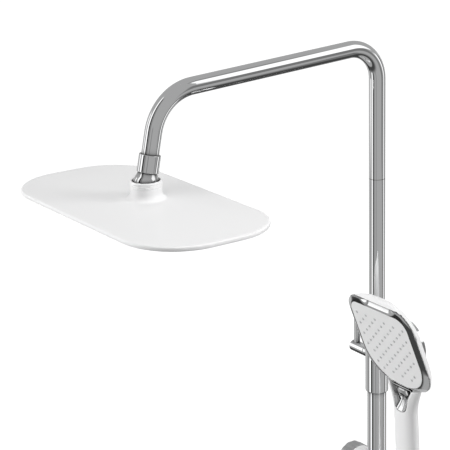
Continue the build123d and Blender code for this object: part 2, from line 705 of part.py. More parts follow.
def knob_stud():
    tip = -(SLIDER_BUSH_D / 2 + 2 * RUN_GAP)
    return along_x(KNOB_STUD_D, STUD_FAR, tip, RISER_Y, SLIDER_Z)


# Holder, in a frame at the cone centre with Z along the handle
HOLDER_FRAME = Pos(HOLDER_X, RISER_Y - HOLDER_FORWARD, SLIDER_Z) * Rot(HOLDER_LEAN, 0, 0)
CONE_SLOPE = math.tan(math.radians(CONE_TAPER))
HOLDER_HALF = HOLDER_HEIGHT / 2


def cone_radius(z):
    """Radius of the handle's cone at a height above the cone centre."""
    return CONE_TOP_D / 2 - (HOLDER_HALF - z) * CONE_SLOPE


def holder_cone():
    inside_top = cone_radius(HOLDER_HALF) + FACE_GAP
    inside_foot = cone_radius(-HOLDER_HALF) + FACE_GAP
    cup = turned(
        (0, -HOLDER_HALF), (inside_foot + HOLDER_WALL, -HOLDER_HALF),
        (inside_top + HOLDER_WALL, HOLDER_HALF), (0, HOLDER_HALF),
    )
    cup = HOLDER_FRAME * cup
    boss = along_x(HOLDER_BOSS_D, SLIDER_RIGHT + FACE_GAP, HOLDER_X, RISER_Y, SLIDER_Z)
    cup += boss
    well = turned(
        (0, -HOLDER_HALF), (inside_foot, -HOLDER_HALF), (inside_top, HOLDER_HALF), (0, HOLDER_HALF),
    )
    cup -= HOLDER_FRAME * well
    slot = Pos(0, -CONE_TOP_D, 0) * Box(HOLDER_SLOT, 2 * CONE_TOP_D, 2 * HOLDER_HEIGHT)
    cup -= HOLDER_FRAME * slot
    return cup - along_x(AXLE_D + 2 * SEAT_GAP, SLIDER_RIGHT, AXLE_START + AXLE_LENGTH, RISER_Y, SLIDER_Z)


def holder_axle():
    axle = along_x(AXLE_D, AXLE_START, AXLE_START + AXLE_LENGTH, RISER_Y, SLIDER_Z)
    half = AXLE_PIN_D / 2 + 2 * RUN_GAP
    groove = along_x(AXLE_D + OVERLAP, AXLE_GROOVE_X - half, AXLE_GROOVE_X + half, RISER_Y, SLIDER_Z)
    core = along_x(AXLE_D - 2 * AXLE_GROOVE, AXLE_GROOVE_X - half, AXLE_GROOVE_X + half, RISER_Y, SLIDER_Z)
    return axle - (groove - core)


# Hand shower, in the same frame at the cone centre
FACE_LEAN = math.radians(FACE_TILT)
FACE_CENTRE = Vector(0, -FACE_FORWARD, FACE_CENTRE_Z)
FACE_OUT = Vector(0, -math.cos(FACE_LEAN), -math.sin(FACE_LEAN))
FACE_FRAME = Plane(origin=FACE_CENTRE, x_dir=(1, 0, 0), z_dir=FACE_OUT).location
MAT_BACK = -FACE_PLATE_THICK - HAND_MAT_THICK


def rounded_shield(top, foot, top_width, foot_width, top_r, foot_r, out):
    """Straight-sided outline with rounded corners, at a distance out of the face plane."""
    head = top_width / 2
    base = foot_width / 2
    shield = make_face(Polyline((-head, top), (head, top), (base, -foot), (-base, -foot), close=True))
    upper = shield.vertices().sort_by(Axis.Y)[2:]
    shield = fillet(upper, top_r)
    lower = shield.vertices().sort_by(Axis.Y)[:2]
    shield = fillet(lower, foot_r)
    return FACE_FRAME * Pos(0, 0, out) * shield


def face_outline(grow, out):
    """Outline of the white face, grown by an amount."""
    half = FACE_HEIGHT / 2 + grow
    return rounded_shield(
        half, half, FACE_TOP_WIDTH + 2 * grow, FACE_FOOT_WIDTH + 2 * grow,
        FACE_TOP_R + grow, FACE_FOOT_R + grow, out,
    )


def bezel_outline(grow, out):
    """Outer edge of the bezel, grown by an amount."""
    return rounded_shield(
        BEZEL_TOP + grow, BEZEL_FOOT + grow, BEZEL_TOP_WIDTH + 2 * grow, BEZEL_FOOT_WIDTH + 2 * grow,
        BEZEL_TOP_R + grow, BEZEL_FOOT_R + grow, out,
    )


def face_slab(grow, back, front):
    return extrude(face_outline(grow, back), amount=front - back, dir=FACE_OUT)


def bezel_slab(grow, back, front):
    return extrude(bezel_outline(grow, back), amount=front - back, dir=FACE_OUT)


def face_reach(y):
    """Half width of the face at a height above its centre."""
    share = (y + FACE_HEIGHT / 2) / FACE_HEIGHT
    half = (FACE_FOOT_WIDTH + (FACE_TOP_WIDTH - FACE_FOOT_WIDTH) * share) / 2
    below = max(FACE_FOOT_R - FACE_HEIGHT / 2 - y, 0)
    return half - FACE_FOOT_R + math.sqrt(FACE_FOOT_R ** 2 - below ** 2)


def face_nozzle_places():
    """Staggered nozzle centres on the face, kept clear of its outline."""
    places = []
    rows = int((FACE_HEIGHT / 2 - HAND_NOZZLE_MARGIN) / HAND_NOZZLE_ROW)
    columns = int(FACE_FOOT_WIDTH / HAND_NOZZLE_PITCH)
    for row in range(-rows, rows + 1):
        y = row * HAND_NOZZLE_ROW
        for column in range(-columns, columns + 1):
            x = (column + (row % 2) / 2) * HAND_NOZZLE_PITCH
            if abs(x) <= face_reach(y) - HAND_NOZZLE_MARGIN:
                places.append((x, y))
    return places


def face_pins(diameter, back, front):
    """Round pins through the face, one for every nozzle."""
    pin = Cylinder(diameter / 2, front - back, align=BASE)
    return [FACE_FRAME * Pos(x, y, back) * pin for x, y in face_nozzle_places()]


def eased(start, end, low, high, z):
    """Value that runs smoothly from start at a low height to end at a high one."""
    share = min(max((z - low) / (high - low), 0), 1)
    return start + (end - start) * share * share * (3 - 2 * share)


def hand_section(z, grow):
    """Oval across the handle at a height: round at the cone, oval in the grip, wide in the neck."""
    width = eased(CONE_TOP_D, HANDLE_WIDTH, HOLDER_HALF, HANDLE_OVAL_Z, z)
    width += eased(0, NECK_TOP_WIDTH - HANDLE_WIDTH, HANDLE_STRAIGHT, NECK_TOP_Z, z)
    depth = eased(CONE_TOP_D, HANDLE_DEPTH, HOLDER_HALF, HANDLE_OVAL_Z, z)
    depth += eased(0, NECK_TOP_DEPTH - HANDLE_DEPTH, HANDLE_STRAIGHT, NECK_TOP_Z, z)
    lead = eased(0, NECK_LEAD, HANDLE_STRAIGHT, NECK_TOP_Z, z)
    return Pos(0, -lead, z) * Ellipse(width / 2 + grow, depth / 2 + grow)


def hand_neck(grow):
    """Handle from its round cone, through the oval grip, up into the wide head."""
    step = (NECK_TOP_Z - HOLDER_HALF) / HANDLE_SECTIONS
    heights = [HOLDER_HALF + step * index for index in range(HANDLE_SECTIONS + 1)]
    return loft([hand_section(z, grow) for z in heights])


def along_hand(diameter, low, high, y=0.0):
    """Cylinder along the handle between two heights."""
    return Pos(0, y, low) * Cylinder(diameter / 2, high - low, align=BASE)


def button_slot(grow, front, back):
    """Oval block from front to back at the button."""
    oval = SlotOverall(BUTTON_WIDTH + 2 * grow, BUTTON_HEIGHT + 2 * grow)
    return extrude(Pos(0, front, BUTTON_Z) * Rot(90, 0, 0) * oval, amount=back - front, dir=(0, 1, 0))


def tray_block(grow, floor, top):
    """Block with the thumb tray's outline, from a floor out to the front."""
    head = TRIM_TOP_WIDTH / 2 + grow
    waist = TRIM_WAIST_WIDTH / 2 + grow
    foot = TRIM_FOOT_WIDTH / 2 + grow
    low = TRIM_FOOT_Z - grow
    outline = make_face(Plane.XZ * Polyline(
        (-head, top), (head, top), (head, TRIM_TOP_Z), (waist, TRIM_WAIST_Z), (foot, low),
        (-foot, low), (-waist, TRIM_WAIST_Z), (-head, TRIM_TOP_Z), close=True,
    ))
    corners = outline.vertices().sort_by(Axis.Z)[:2]
    outline = fillet(corners, TRIM_FOOT_R + grow)
    return extrude(Pos(0, floor, 0) * outline, amount=SHELL_DEPTH, dir=(0, -1, 0))


BUTTON_FRONT = -BUTTON_FORWARD
BUTTON_BACK = BUTTON_FRONT + BUTTON_LENGTH
POCKET_BACK = BUTTON_BACK + BUTTON_TRAVEL + FACE_GAP
TRAY_FLOOR = -TRIM_FLOOR_REACH
TRAY_BACK = TRAY_FLOOR + TRIM_FLOOR_THICK


def before_face():
    """Space in front of the bezel's back, out to beyond the neck."""
    return bezel_slab(SEAT_GAP, -BEZEL_DEPTH, SHELL_DEPTH)


def hand_shell():
    head = loft([
        bezel_outline(SHELL_LIP, -SHELL_LIP_BACK),
        rounded_shield(
            SHELL_TOP, SHELL_FOOT, SHELL_TOP_WIDTH, SHELL_FOOT_WIDTH, SHELL_TOP_R, SHELL_FOOT_R, -SHELL_SIDE
        ),
        rounded_shield(
            SHELL_BACK_TOP, SHELL_BACK_FOOT, SHELL_BACK_WIDTH, SHELL_BACK_WIDTH,
            SHELL_BACK_R, SHELL_BACK_R, -SHELL_DEPTH,
        ),
    ])
    head += bezel_slab(SHELL_LIP, -SHELL_COVER, -SHELL_LIP_BACK)
    cone = turned(
        (0, -HOLDER_HALF), (cone_radius(-HOLDER_HALF), -HOLDER_HALF),
        (cone_radius(HOLDER_HALF), HOLDER_HALF), (0, HOLDER_HALF),
    )
    shell = head + cone + hand_neck(0) - before_face()
    shell -= face_slab(-SHELL_WALL, -CHAMBER_DEPTH, -BEZEL_DEPTH)
    shell -= along_hand(HANDLE_BORE_D, -HOLDER_HALF, NECK_BORE_FOOT + NECK_BORE_D)
    shell -= along_hand(NECK_BORE_D, NECK_BORE_FOOT, NECK_BORE_TOP, NECK_BORE_BACK)
    shell -= tray_block(SEAT_GAP, TRAY_BACK, NECK_BORE_TOP)
    return shell - button_slot(FACE_GAP, TRAY_BACK, POCKET_BACK)


def hand_bezel():
    ring = bezel_slab(0, -BEZEL_DEPTH, -BEZEL_DROP)
    ring += loft([bezel_outline(0, -BEZEL_DROP), face_outline(BEZEL_EDGE, BEZEL_PROUD)])
    return ring - face_slab(0, -BEZEL_DEPTH, BEZEL_PROUD)


def hand_face():
    plate = face_slab(-SEAT_GAP, -FACE_PLATE_THICK, 0)
    return plate - face_pins(HAND_NOZZLE_D + 4 * SEAT_GAP, -FACE_PLATE_THICK, 0)


def hand_nozzle_mat():
    mat = face_slab(-SHELL_WALL, MAT_BACK, -FACE_PLATE_THICK)
    return mat + face_pins(HAND_NOZZLE_D, -FACE_PLATE_THICK, HAND_NOZZLE_LENGTH)


def neck_trim():
    side = make_face(Plane.YZ * Polyline(
        (TRAY_BACK, TRIM_FOOT_Z), (-TRIM_FOOT_REACH, TRIM_FOOT_Z), (-TRIM_TOP_REACH, TRIM_TOP_Z),
        (TRAY_BACK, TRIM_TOP_Z), close=True,
    ))
    tray = tray_block(0, TRAY_BACK, TRIM_TOP_Z + TRIM_RIM) & extrude(side, TRIM_TOP_WIDTH, both=True)
    tray -= tray_block(-TRIM_RIM, TRAY_FLOOR, TRIM_TOP_Z + TRIM_RIM)
    return tray - button_slot(FACE_GAP, TRAY_FLOOR - OVERLAP, TRAY_BACK)


def selector_button():
    button = button_slot(0, BUTTON_FRONT, BUTTON_BACK)
    return button - along_y(SPRING_D + 2 * SEAT_GAP, BUTTON_BACK - SPRING_SEAT, BUTTON_BACK, 0, BUTTON_Z)


def button_spring():
    start = BUTTON_BACK - SPRING_SEAT
    coil = along_y(SPRING_D, start, BUTTON_BACK, 0, BUTTON_Z)
    return coil - along_y(SPRING_D - 2 * SPRING_WALL, start, BUTTON_BACK, 0, BUTTON_Z)


def hand_inlet():
    nipple = along_hand(PIPE_THREAD_D, -HOLDER_HALF - NIPPLE_LENGTH, -HOLDER_HALF)
    nipple += along_hand(HANDLE_BORE_D - 2 * SEAT_GAP, -HOLDER_HALF, -HOLDER_HALF + NIPPLE_SPIGOT)
    return nipple - along_hand(PIPE_BORE_D, -HOLDER_HALF - NIPPLE_LENGTH, HOLDER_HALF)


# Diverter
CARTRIDGE_Y = RISER_Y - CARTRIDGE_FRONT
KNOB_BACK = CARTRIDGE_Y - KNOB_STANDOFF
KNOB_FRONT = KNOB_BACK - DIVERTER_KNOB_LENGTH


def diverter_body():
    body = upright(DIVERTER_D, DIVERTER_FOOT, DIVERTER_TOP)
    body = fillet(body.edges().filter_by(GeomType.CIRCLE), DIVERTER_EDGE)
    boss, hole = bracket_socket(LOWER_BRACKET_Z)
    body += boss
    body += along_y(CARTRIDGE_BOSS_D, RISER_Y - CARTRIDGE_BOSS_REACH, RISER_Y, 0, LOWER_BRACKET_Z)
    body += along_x(SIDE_BOSS_D, 0, SIDE_BOSS_REACH, RISER_Y, LOWER_BRACKET_Z)
    body -= hole
    body -= upright(LOWER_TUBE_D + 2 * SEAT_GAP, LOWER_TUBE_FOOT, DIVERTER_TOP)
    body -= upright(WATERWAY_D, DIVERTER_FOOT, LOWER_TUBE_FOOT)
    pocket_front = RISER_Y - CARTRIDGE_BOSS_REACH
    pocket_back = RISER_Y + CARTRIDGE_BACK
    body -= along_y(CARTRIDGE_D + 2 * SEAT_GAP, pocket_front, pocket_back, 0, LOWER_BRACKET_Z)
    spigot_hole_d = NIPPLE_SPIGOT_D + 2 * SEAT_GAP
    body -= upright(spigot_hole_d, DIVERTER_FOOT, DIVERTER_FOOT + NIPPLE_SPIGOT)
    spigot_start = SIDE_BOSS_REACH - NIPPLE_SPIGOT
    body -= along_x(spigot_hole_d, spigot_start, SIDE_BOSS_REACH, RISER_Y, LOWER_BRACKET_Z)
    return body - along_x(PIPE_BORE_D, 0, SIDE_BOSS_REACH, RISER_Y, LOWER_BRACKET_Z)


def gland_nut():
    nut = upright(GLAND_D, DIVERTER_TOP, DIVERTER_TOP + GLAND_HEIGHT)
    top = nut.edges().filter_by(GeomType.CIRCLE).sort_by(Axis.Z)[-1]
    nut = fillet(top, DIVERTER_EDGE)
    nut -= upright(LOWER_TUBE_D + 2 * SEAT_GAP, DIVERTER_TOP, DIVERTER_TOP + GLAND_HEIGHT)
    groove_d = LOWER_TUBE_D + 2 * RING_CORD_D + 4 * SEAT_GAP
    return nut - upright(groove_d, DIVERTER_TOP, DIVERTER_TOP + RING_CORD_D + 2 * SEAT_GAP)


def gland_seal():
    z = DIVERTER_TOP + RING_CORD_D / 2 + SEAT_GAP
    return Pos(0, RISER_Y, z) * ring_seal(LOWER_TUBE_D + 2 * SEAT_GAP, RING_CORD_D)


def diverter_cartridge():
    back = RISER_Y + CARTRIDGE_BACK
    body = along_y(CARTRIDGE_D, CARTRIDGE_Y, back, 0, LOWER_BRACKET_Z)
    body -= along_y(SPINDLE_D + 2 * RUN_GAP, CARTRIDGE_Y, CARTRIDGE_Y + SPINDLE_GRIP, 0, LOWER_BRACKET_Z)
    body -= upright(PIPE_BORE_D, LOWER_BRACKET_Z - CARTRIDGE_D, LOWER_BRACKET_Z + CARTRIDGE_D)
    return body - along_x(PIPE_BORE_D, 0, CARTRIDGE_D, RISER_Y, LOWER_BRACKET_Z)


def diverter_spindle():
    start = KNOB_BACK - SPINDLE_GRIP
    return along_y(SPINDLE_D, start, CARTRIDGE_Y + SPINDLE_GRIP - FACE_GAP, 0, LOWER_BRACKET_Z)


def diverter_knob():
    knob = along_y(DIVERTER_KNOB_D, KNOB_FRONT, KNOB_BACK, 0, LOWER_BRACKET_Z)
    knob = fillet(knob.edges().filter_by(GeomType.CIRCLE), DIVERTER_EDGE)
    bar_y = KNOB_FRONT - KNOB_BAR_HEIGHT / 2
    bar = Pos(0, bar_y, LOWER_BRACKET_Z)
    knob += bar * Box(KNOB_BAR_WIDTH, KNOB_BAR_HEIGHT, DIVERTER_KNOB_D - 4 * DIVERTER_EDGE)
    return knob - along_y(SPINDLE_D + 2 * SEAT_GAP, KNOB_BACK - SPINDLE_GRIP, KNOB_BACK, 0, LOWER_BRACKET_Z)


def pipe_nipple():
    """Nipple about Z: spigot up, flange from zero, thread hanging down."""
    foot = -NIPPLE_FLANGE - NIPPLE_LENGTH
    nipple = Pos(0, 0, foot) * Cylinder(PIPE_THREAD_D / 2, NIPPLE_LENGTH, align=BASE)
    nipple += Pos(0, 0, -NIPPLE_FLANGE) * Cylinder(NIPPLE_FLANGE_D / 2, NIPPLE_FLANGE, align=BASE)
    nipple += Cylinder(NIPPLE_SPIGOT_D / 2, NIPPLE_SPIGOT, align=BASE)
    return nipple - Pos(0, 0, foot) * Cylinder(PIPE_BORE_D / 2, NIPPLE_SPIGOT - foot, align=BASE)


def inlet_nipple():
    return Pos(0, RISER_Y, DIVERTER_FOOT) * pipe_nipple()


def outlet_nipple():
    return Pos(SIDE_BOSS_REACH, RISER_Y, LOWER_BRACKET_Z) * Rot(0, -90, 0) * pipe_nipple()


for bracket, bracket_z in (("upper", LEVER_Z), ("lower", LOWER_BRACKET_Z)):
    keep(f"{bracket}_bracket_post", bracket_post(bracket_z))
    keep(f"{bracket}_rosette", rosette(bracket_z))
    keep(f"{bracket}_wall_plate", wall_plate(bracket_z))
    keep(f"{bracket}_grub_screw", bracket_grub_screw(bracket_z))

for piece in (
    lower_riser_tube, upper_riser_tube, telescope_piston, telescope_seal, arm_union, union_seal,
    clamp_sleeve, guide_bush, lever_hub, lever_post, clamp_stud,
    gooseneck_arm, stem_nut, stem_washer, swivel_ball, ball_seat_ring, ball_seat_cup,
    ball_collar, rain_cover, rain_spray_plate, rain_nozzle_mat, rain_gasket,
    slider_bush, slider_body, axle_pin, slider_knob, knob_stud, holder_cone, holder_axle,
    diverter_body, gland_nut, gland_seal, diverter_cartridge, diverter_spindle, diverter_knob,
    inlet_nipple, outlet_nipple,
):
    keep(piece.__name__, piece())

for piece in (
    hand_shell, hand_bezel, hand_face, hand_nozzle_mat, neck_trim, selector_button, button_spring,
    hand_inlet,
):
    keep(piece.__name__, HOLDER_FRAME * piece())

os.makedirs("parts", exist_ok=True)
for name, shape in NODES.items():
    export_step(shape, f"parts/{name}.step")
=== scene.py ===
import json
import logging
import math
from bisect import bisect_left
from dataclasses import dataclass
from enum import Enum

import bmesh
import bpy
from bpy.types import Material, Mesh, Node, NodeSocket, NodeTree, Object
from mathutils import Matrix, Vector


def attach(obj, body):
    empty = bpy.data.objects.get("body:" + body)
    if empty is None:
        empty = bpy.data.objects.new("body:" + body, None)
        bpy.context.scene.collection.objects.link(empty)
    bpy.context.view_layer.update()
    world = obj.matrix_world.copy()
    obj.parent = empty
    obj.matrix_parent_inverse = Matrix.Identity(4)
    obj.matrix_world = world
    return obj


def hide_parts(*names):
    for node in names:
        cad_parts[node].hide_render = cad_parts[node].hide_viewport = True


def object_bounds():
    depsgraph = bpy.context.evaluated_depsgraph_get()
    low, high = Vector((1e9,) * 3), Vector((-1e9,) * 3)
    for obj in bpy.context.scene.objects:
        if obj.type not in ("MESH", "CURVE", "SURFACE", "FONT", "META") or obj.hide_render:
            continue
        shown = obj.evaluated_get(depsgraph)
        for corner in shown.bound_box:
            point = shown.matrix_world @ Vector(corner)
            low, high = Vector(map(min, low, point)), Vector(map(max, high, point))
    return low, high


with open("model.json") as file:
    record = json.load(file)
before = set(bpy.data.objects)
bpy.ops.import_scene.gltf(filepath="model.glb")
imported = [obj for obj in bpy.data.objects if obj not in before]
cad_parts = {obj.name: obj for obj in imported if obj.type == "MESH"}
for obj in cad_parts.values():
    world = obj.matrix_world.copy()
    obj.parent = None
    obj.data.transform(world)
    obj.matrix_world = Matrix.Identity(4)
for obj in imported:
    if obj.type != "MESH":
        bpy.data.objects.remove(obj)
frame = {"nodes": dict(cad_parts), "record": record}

logging.basicConfig(level=logging.INFO, format="%(name)s: %(message)s")
log = logging.getLogger("shower_column")

CAD_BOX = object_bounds()
MM = 0.001
Ring = list[Vector]
Outline = list[Vector]
Corner = tuple[float, float, float]
Rows = tuple[tuple[float, ...], ...]
Value = float | NodeSocket
Inputs = dict[str | int, Value | tuple[float, ...]]


# Names of the record's material slots
class Slot(Enum):
    """Material slots that the finishes are for."""

    CHROME = "chrome_plating"
    BRIGHT = "bright_trim"
    SATIN = "satin_trim"
    WHITE = "white_plastic"
    GREY = "grey_plastic"
    SILICONE = "nozzle_silicone"
    RUBBER = "seal_rubber"
    GUIDE = "guide_plastic"
    BRASS = "turned_brass"
    STEEL = "plain_steel"


class Effect(Enum):
    """Node groups that several finishes share."""

    GRAIN = "moulded_grain"
    # Polish haze of the plating, with shade painted into its recesses
    HAZE = "polish_haze_and_painted_shade"
    TURNING = "turning_lines"


# Shader node groups
CLOUD_SHARE = 0.7
HAZE_CONTRAST = 2.0
WIPE_SHARE = 0.3
WIPE_STRETCH = (1.0, 1.0, 0.06)
# Reach and strength of the shade painted into the plating's recesses by ambient occlusion
PAINTED_SHADE_REACH = 0.008
PAINTED_SHADE_DEPTH = 3.0
NO_INPUTS: Inputs = {}


class NodeSketch:
    """Node tree with short ways to add nodes and join them."""

    def __init__(self, tree: NodeTree) -> None:
        """Keep the tree that the nodes go into."""
        self.tree = tree

    def feed(self, source: Value | tuple[float, ...], target: NodeSocket) -> None:
        """Set a socket to a value or join another socket to it.

        Args:
            source: A number, a colour or vector, or an output socket.
            target: The input socket.
        """
        if isinstance(source, NodeSocket):
            self.tree.links.new(source, target)
        else:
            target.default_value = source

    def wire(self, node: Node, inputs: Inputs) -> Node:
        """Feed several inputs of a node.

        Args:
            node: The node.
            inputs: What to feed, by the input's name or number.

        Returns:
            The same node.
        """
        for name, source in inputs.items():
            self.feed(source, node.inputs[name])
        return node

    def add(self, kind: str, inputs: Inputs = NO_INPUTS, **values: object) -> Node:
        """Add a node.

        Args:
            kind: Blender's name of the node type.
            inputs: What to feed to its inputs.
            values: Attributes to set on it.

        Returns:
            The new node.
        """
        node = self.tree.nodes.new(kind)
        for name, value in values.items():
            setattr(node, name, value)
        return self.wire(node, inputs)

    def maths(self, operation: str, first: Value, second: Value) -> NodeSocket:
        """Work out a value from two others."""
        return self.add("ShaderNodeMath", {0: first, 1: second}, operation=operation).outputs[0]

    def noise(self, place: NodeSocket, scale: Value, detail: float) -> NodeSocket:
        """Add a noise about 0.5, with its scale per metre and its octaves of detail."""
        inputs = {"Vector": place, "Scale": scale, "Detail": detail}
        return self.add("ShaderNodeTexNoise", inputs).outputs["Fac"]

    def around(self, value: NodeSocket, middle: Value, amount: Value) -> NodeSocket:
        """Spread a noise about a middle value, by a full width."""
        spread = self.maths("MULTIPLY", self.maths("SUBTRACT", value, 0.5), amount)
        return self.maths("ADD", spread, middle)


class EffectGroup:
    """One shared node group, with a colour, a roughness and a bump height as its outputs."""

    def __init__(self, effect: Effect, scales: tuple[str, ...]) -> None:
        """Start the group.

        Args:
            effect: The effect that the group is for.
            scales: Names of the noise scales that it takes.
        """
        self.tree = bpy.data.node_groups.new(effect.value, "ShaderNodeTree")
        new_socket = self.tree.interface.new_socket
        new_socket("Colour", in_out="INPUT", socket_type="NodeSocketColor")
        for name in (*scales, "Shade Amount", "Gloss", "Gloss Amount"):
            new_socket(name, in_out="INPUT", socket_type="NodeSocketFloat")
        new_socket("Colour", in_out="OUTPUT", socket_type="NodeSocketColor")
        for name in ("Roughness", "Height"):
            new_socket(name, in_out="OUTPUT", socket_type="NodeSocketFloat")
        self.sketch = NodeSketch(self.tree)
        self.given = self.sketch.add("NodeGroupInput").outputs
        self.place = self.sketch.add("ShaderNodeTexCoord").outputs["Object"]

    def finish(self, darker: NodeSocket, rough: NodeSocket, height: NodeSocket) -> NodeTree:
        """Put out the darkened colour, the roughness and the bump height.

        Args:
            darker: Share of the colour to take away.
            rough: Roughness.
            height: Bump height.

        Returns:
            The group's tree.
        """
        share = self.sketch.maths("SUBTRACT", 1.0, darker)
        inputs = {"Vector": self.given["Colour"], "Scale": share}
        scaled = self.sketch.add("ShaderNodeVectorMath", inputs, operation="SCALE")
        result = {"Colour": scaled.outputs["Vector"], "Roughness": rough, "Height": height}
        self.sketch.add("NodeGroupOutput", result)
        return self.tree


def moulded_grain() -> NodeTree:
    """Make the fine skin of moulded pieces: soft clouds of tone and gloss over a tight grain.

    Returns:
        The group's tree.
    """
    group = EffectGroup(Effect.GRAIN, ("Coarse Scale", "Fine Scale"))
    sketch = group.sketch
    given = group.given
    cloud = sketch.noise(group.place, given["Coarse Scale"], detail=3.0)
    grain = sketch.noise(group.place, given["Fine Scale"], detail=2.0)
    soft = sketch.maths("MULTIPLY", cloud, CLOUD_SHARE)
    mixed = sketch.maths("ADD", soft, sketch.maths("MULTIPLY", grain, 1.0 - CLOUD_SHARE))
    darker = sketch.maths("MULTIPLY", mixed, given["Shade Amount"])
    return group.finish(darker, sketch.around(mixed, given["Gloss"], given["Gloss Amount"]), grain)


def polish_haze_and_painted_shade() -> NodeTree:
    """Make the skin of polished plating: clear metal, faint haze, wiping marks, and painted shade that
    darkens the colour in recesses.

    Returns:
        The group's tree.
    """
    group = EffectGroup(Effect.HAZE, ("Coarse Scale", "Fine Scale"))
    sketch = group.sketch
    given = group.given
    haze = sketch.noise(group.place, given["Coarse Scale"], detail=4.0)
    patches = sketch.maths("POWER", haze, HAZE_CONTRAST)
    stretch = sketch.add("ShaderNodeMapping", {"Vector": group.place, "Scale": WIPE_STRETCH})
    wipes = sketch.noise(stretch.outputs["Vector"], given["Fine Scale"], detail=2.0)
    # Painted shade: ambient occlusion darkens the plating's colour in recesses and beside other parts
    painted_recess_ao = sketch.add("ShaderNodeAmbientOcclusion", {"Distance": PAINTED_SHADE_REACH})
    clear = sketch.maths("POWER", painted_recess_ao.outputs["AO"], PAINTED_SHADE_DEPTH)
    hazed = sketch.maths("MULTIPLY", patches, given["Shade Amount"])
    darker = sketch.maths("SUBTRACT", sketch.maths("ADD", hazed, 1.0), clear)
    mixed = sketch.maths("ADD", patches, sketch.maths("MULTIPLY", wipes, WIPE_SHARE))
    rough = sketch.maths("MULTIPLY", mixed, given["Gloss Amount"])
    return group.finish(darker, sketch.maths("ADD", rough, given["Gloss"]), wipes)


def turning_lines() -> NodeTree:
    """Make the fine rings that a lathe leaves, one above the other.

    Returns:
        The group's tree.
    """
    group = EffectGroup(Effect.TURNING, ("Fine Scale",))
    sketch = group.sketch
    given = group.given
    parts = sketch.add("ShaderNodeSeparateXYZ", {"Vector": group.place})
    inputs = {"W": parts.outputs["Z"], "Scale": given["Fine Scale"]}
    lines = sketch.add("ShaderNodeTexNoise", inputs, noise_dimensions="1D").outputs["Fac"]
    darker = sketch.maths("MULTIPLY", lines, given["Shade Amount"])
    return group.finish(darker, sketch.around(lines, given["Gloss"], given["Gloss Amount"]), lines)


def effect_trees() -> dict[Effect, NodeTree]:
    """Build every shared effect once."""
    return {Effect.GRAIN: moulded_grain(), Effect.HAZE: polish_haze_and_painted_shade(), Effect.TURNING: turning_lines()}


# Finishes
@dataclass(frozen=True)
class Finish:
    """Surface of one material slot: colour, gloss and the shared effect that varies them."""

    slot: Slot
    colour: tuple[float, float, float]
    gloss: float
    gloss_amount: float
    shade_amount: float
    effect: Effect = Effect.GRAIN
    coarse: float = 30.0
    fine: float = 2500.0
    metallic: float = 0.0
    coat: float = 0.0
    coat_gloss: float = 0.08
    bump: float = 0.05
    bump_depth_mm: float = 0.05

    def effect_values(self) -> dict[str, object]:
        """Work out the inputs that the shared effect may take.

        Returns:
            Each input's value by its name.
        """
        return {
            "Colour": (*self.colour, 1.0), "Coarse Scale": self.coarse, "Fine Scale": self.fine,
            "Shade Amount": self.shade_amount, "Gloss": self.gloss, "Gloss Amount": self.gloss_amount,
        }

    def build(self, trees: dict[Effect, NodeTree]) -> Material:
        """Make the material.

        Args:
            trees: The shared effects.

        Returns:
            The new material.
        """
        material = bpy.data.materials.new(f"{self.slot.value}_finish")
        material.use_nodes = True
        sketch = NodeSketch(material.node_tree)
        skin = sketch.add("ShaderNodeGroup", node_tree=trees[self.effect])
        for name, value in self.effect_values().items():
            if name in skin.inputs:
                skin.inputs[name].default_value = value
        depth = self.bump_depth_mm * MM
        inputs = {"Strength": self.bump, "Distance": depth, "Height": skin.outputs["Height"]}
        relief = sketch.add("ShaderNodeBump", inputs)
        sketch.wire(material.node_tree.nodes["Principled BSDF"], {
            "Metallic": self.metallic, "Coat Weight": self.coat, "Coat Roughness": self.coat_gloss,
            "Base Color": skin.outputs["Colour"], "Roughness": skin.outputs["Roughness"],
            "Normal": relief.outputs["Normal"],
        })
        return material


FINISHES = (
    # Chrome and bright trim take the polish haze, with its shade painted into recesses
    Finish(
        Slot.CHROME, (0.86, 0.865, 0.87), 0.025, 0.03, 0.03, Effect.HAZE, 22.0, 700.0,
        metallic=1.0, bump=0.02, bump_depth_mm=0.01,
    ),
    Finish(
        Slot.BRIGHT, (0.84, 0.845, 0.85), 0.03, 0.04, 0.04, Effect.HAZE, 45.0, 900.0,
        metallic=1.0, bump=0.03, bump_depth_mm=0.02,
    ),
    Finish(
        Slot.SATIN, (0.56, 0.565, 0.57), 0.30, 0.10, 0.06, Effect.GRAIN, 60.0, 4000.0,
        metallic=0.85, bump=0.10,
    ),
    Finish(
        Slot.WHITE, (0.86, 0.86, 0.862), 0.34, 0.10, 0.02, Effect.GRAIN, 18.0, 2600.0,
        coat=0.12, bump=0.06,
    ),
    Finish(Slot.GREY, (0.50, 0.505, 0.51), 0.46, 0.14, 0.08, Effect.GRAIN, 35.0, 2200.0, bump=0.18),
    Finish(Slot.SILICONE, (0.58, 0.585, 0.59), 0.52, 0.12, 0.10, Effect.GRAIN, 120.0, 3000.0, bump=0.12),
    Finish(Slot.RUBBER, (0.03, 0.03, 0.032), 0.55, 0.20, 0.30, Effect.GRAIN, 200.0, 2600.0, bump=0.25),
    Finish(Slot.GUIDE, (0.72, 0.71, 0.66), 0.48, 0.14, 0.06, Effect.GRAIN, 60.0, 2600.0, bump=0.15),
    Finish(
        Slot.BRASS, (0.72, 0.56, 0.28), 0.26, 0.16, 0.18, Effect.TURNING, fine=2600.0,
        metallic=1.0, bump=0.30,
    ),
    Finish(
        Slot.STEEL, (0.56, 0.565, 0.57), 0.28, 0.16, 0.14, Effect.TURNING, fine=3200.0,
        metallic=1.0, bump=0.25,
    ),
)


# Shape helpers, in millimetres until a ring is placed
LEAST_TURN = 1e-9
LEAST_RUN = 0.01
TO_FRONT = 90.0
SIDEWAYS = Matrix.Rotation(math.radians(-90.0), 4, "Y")


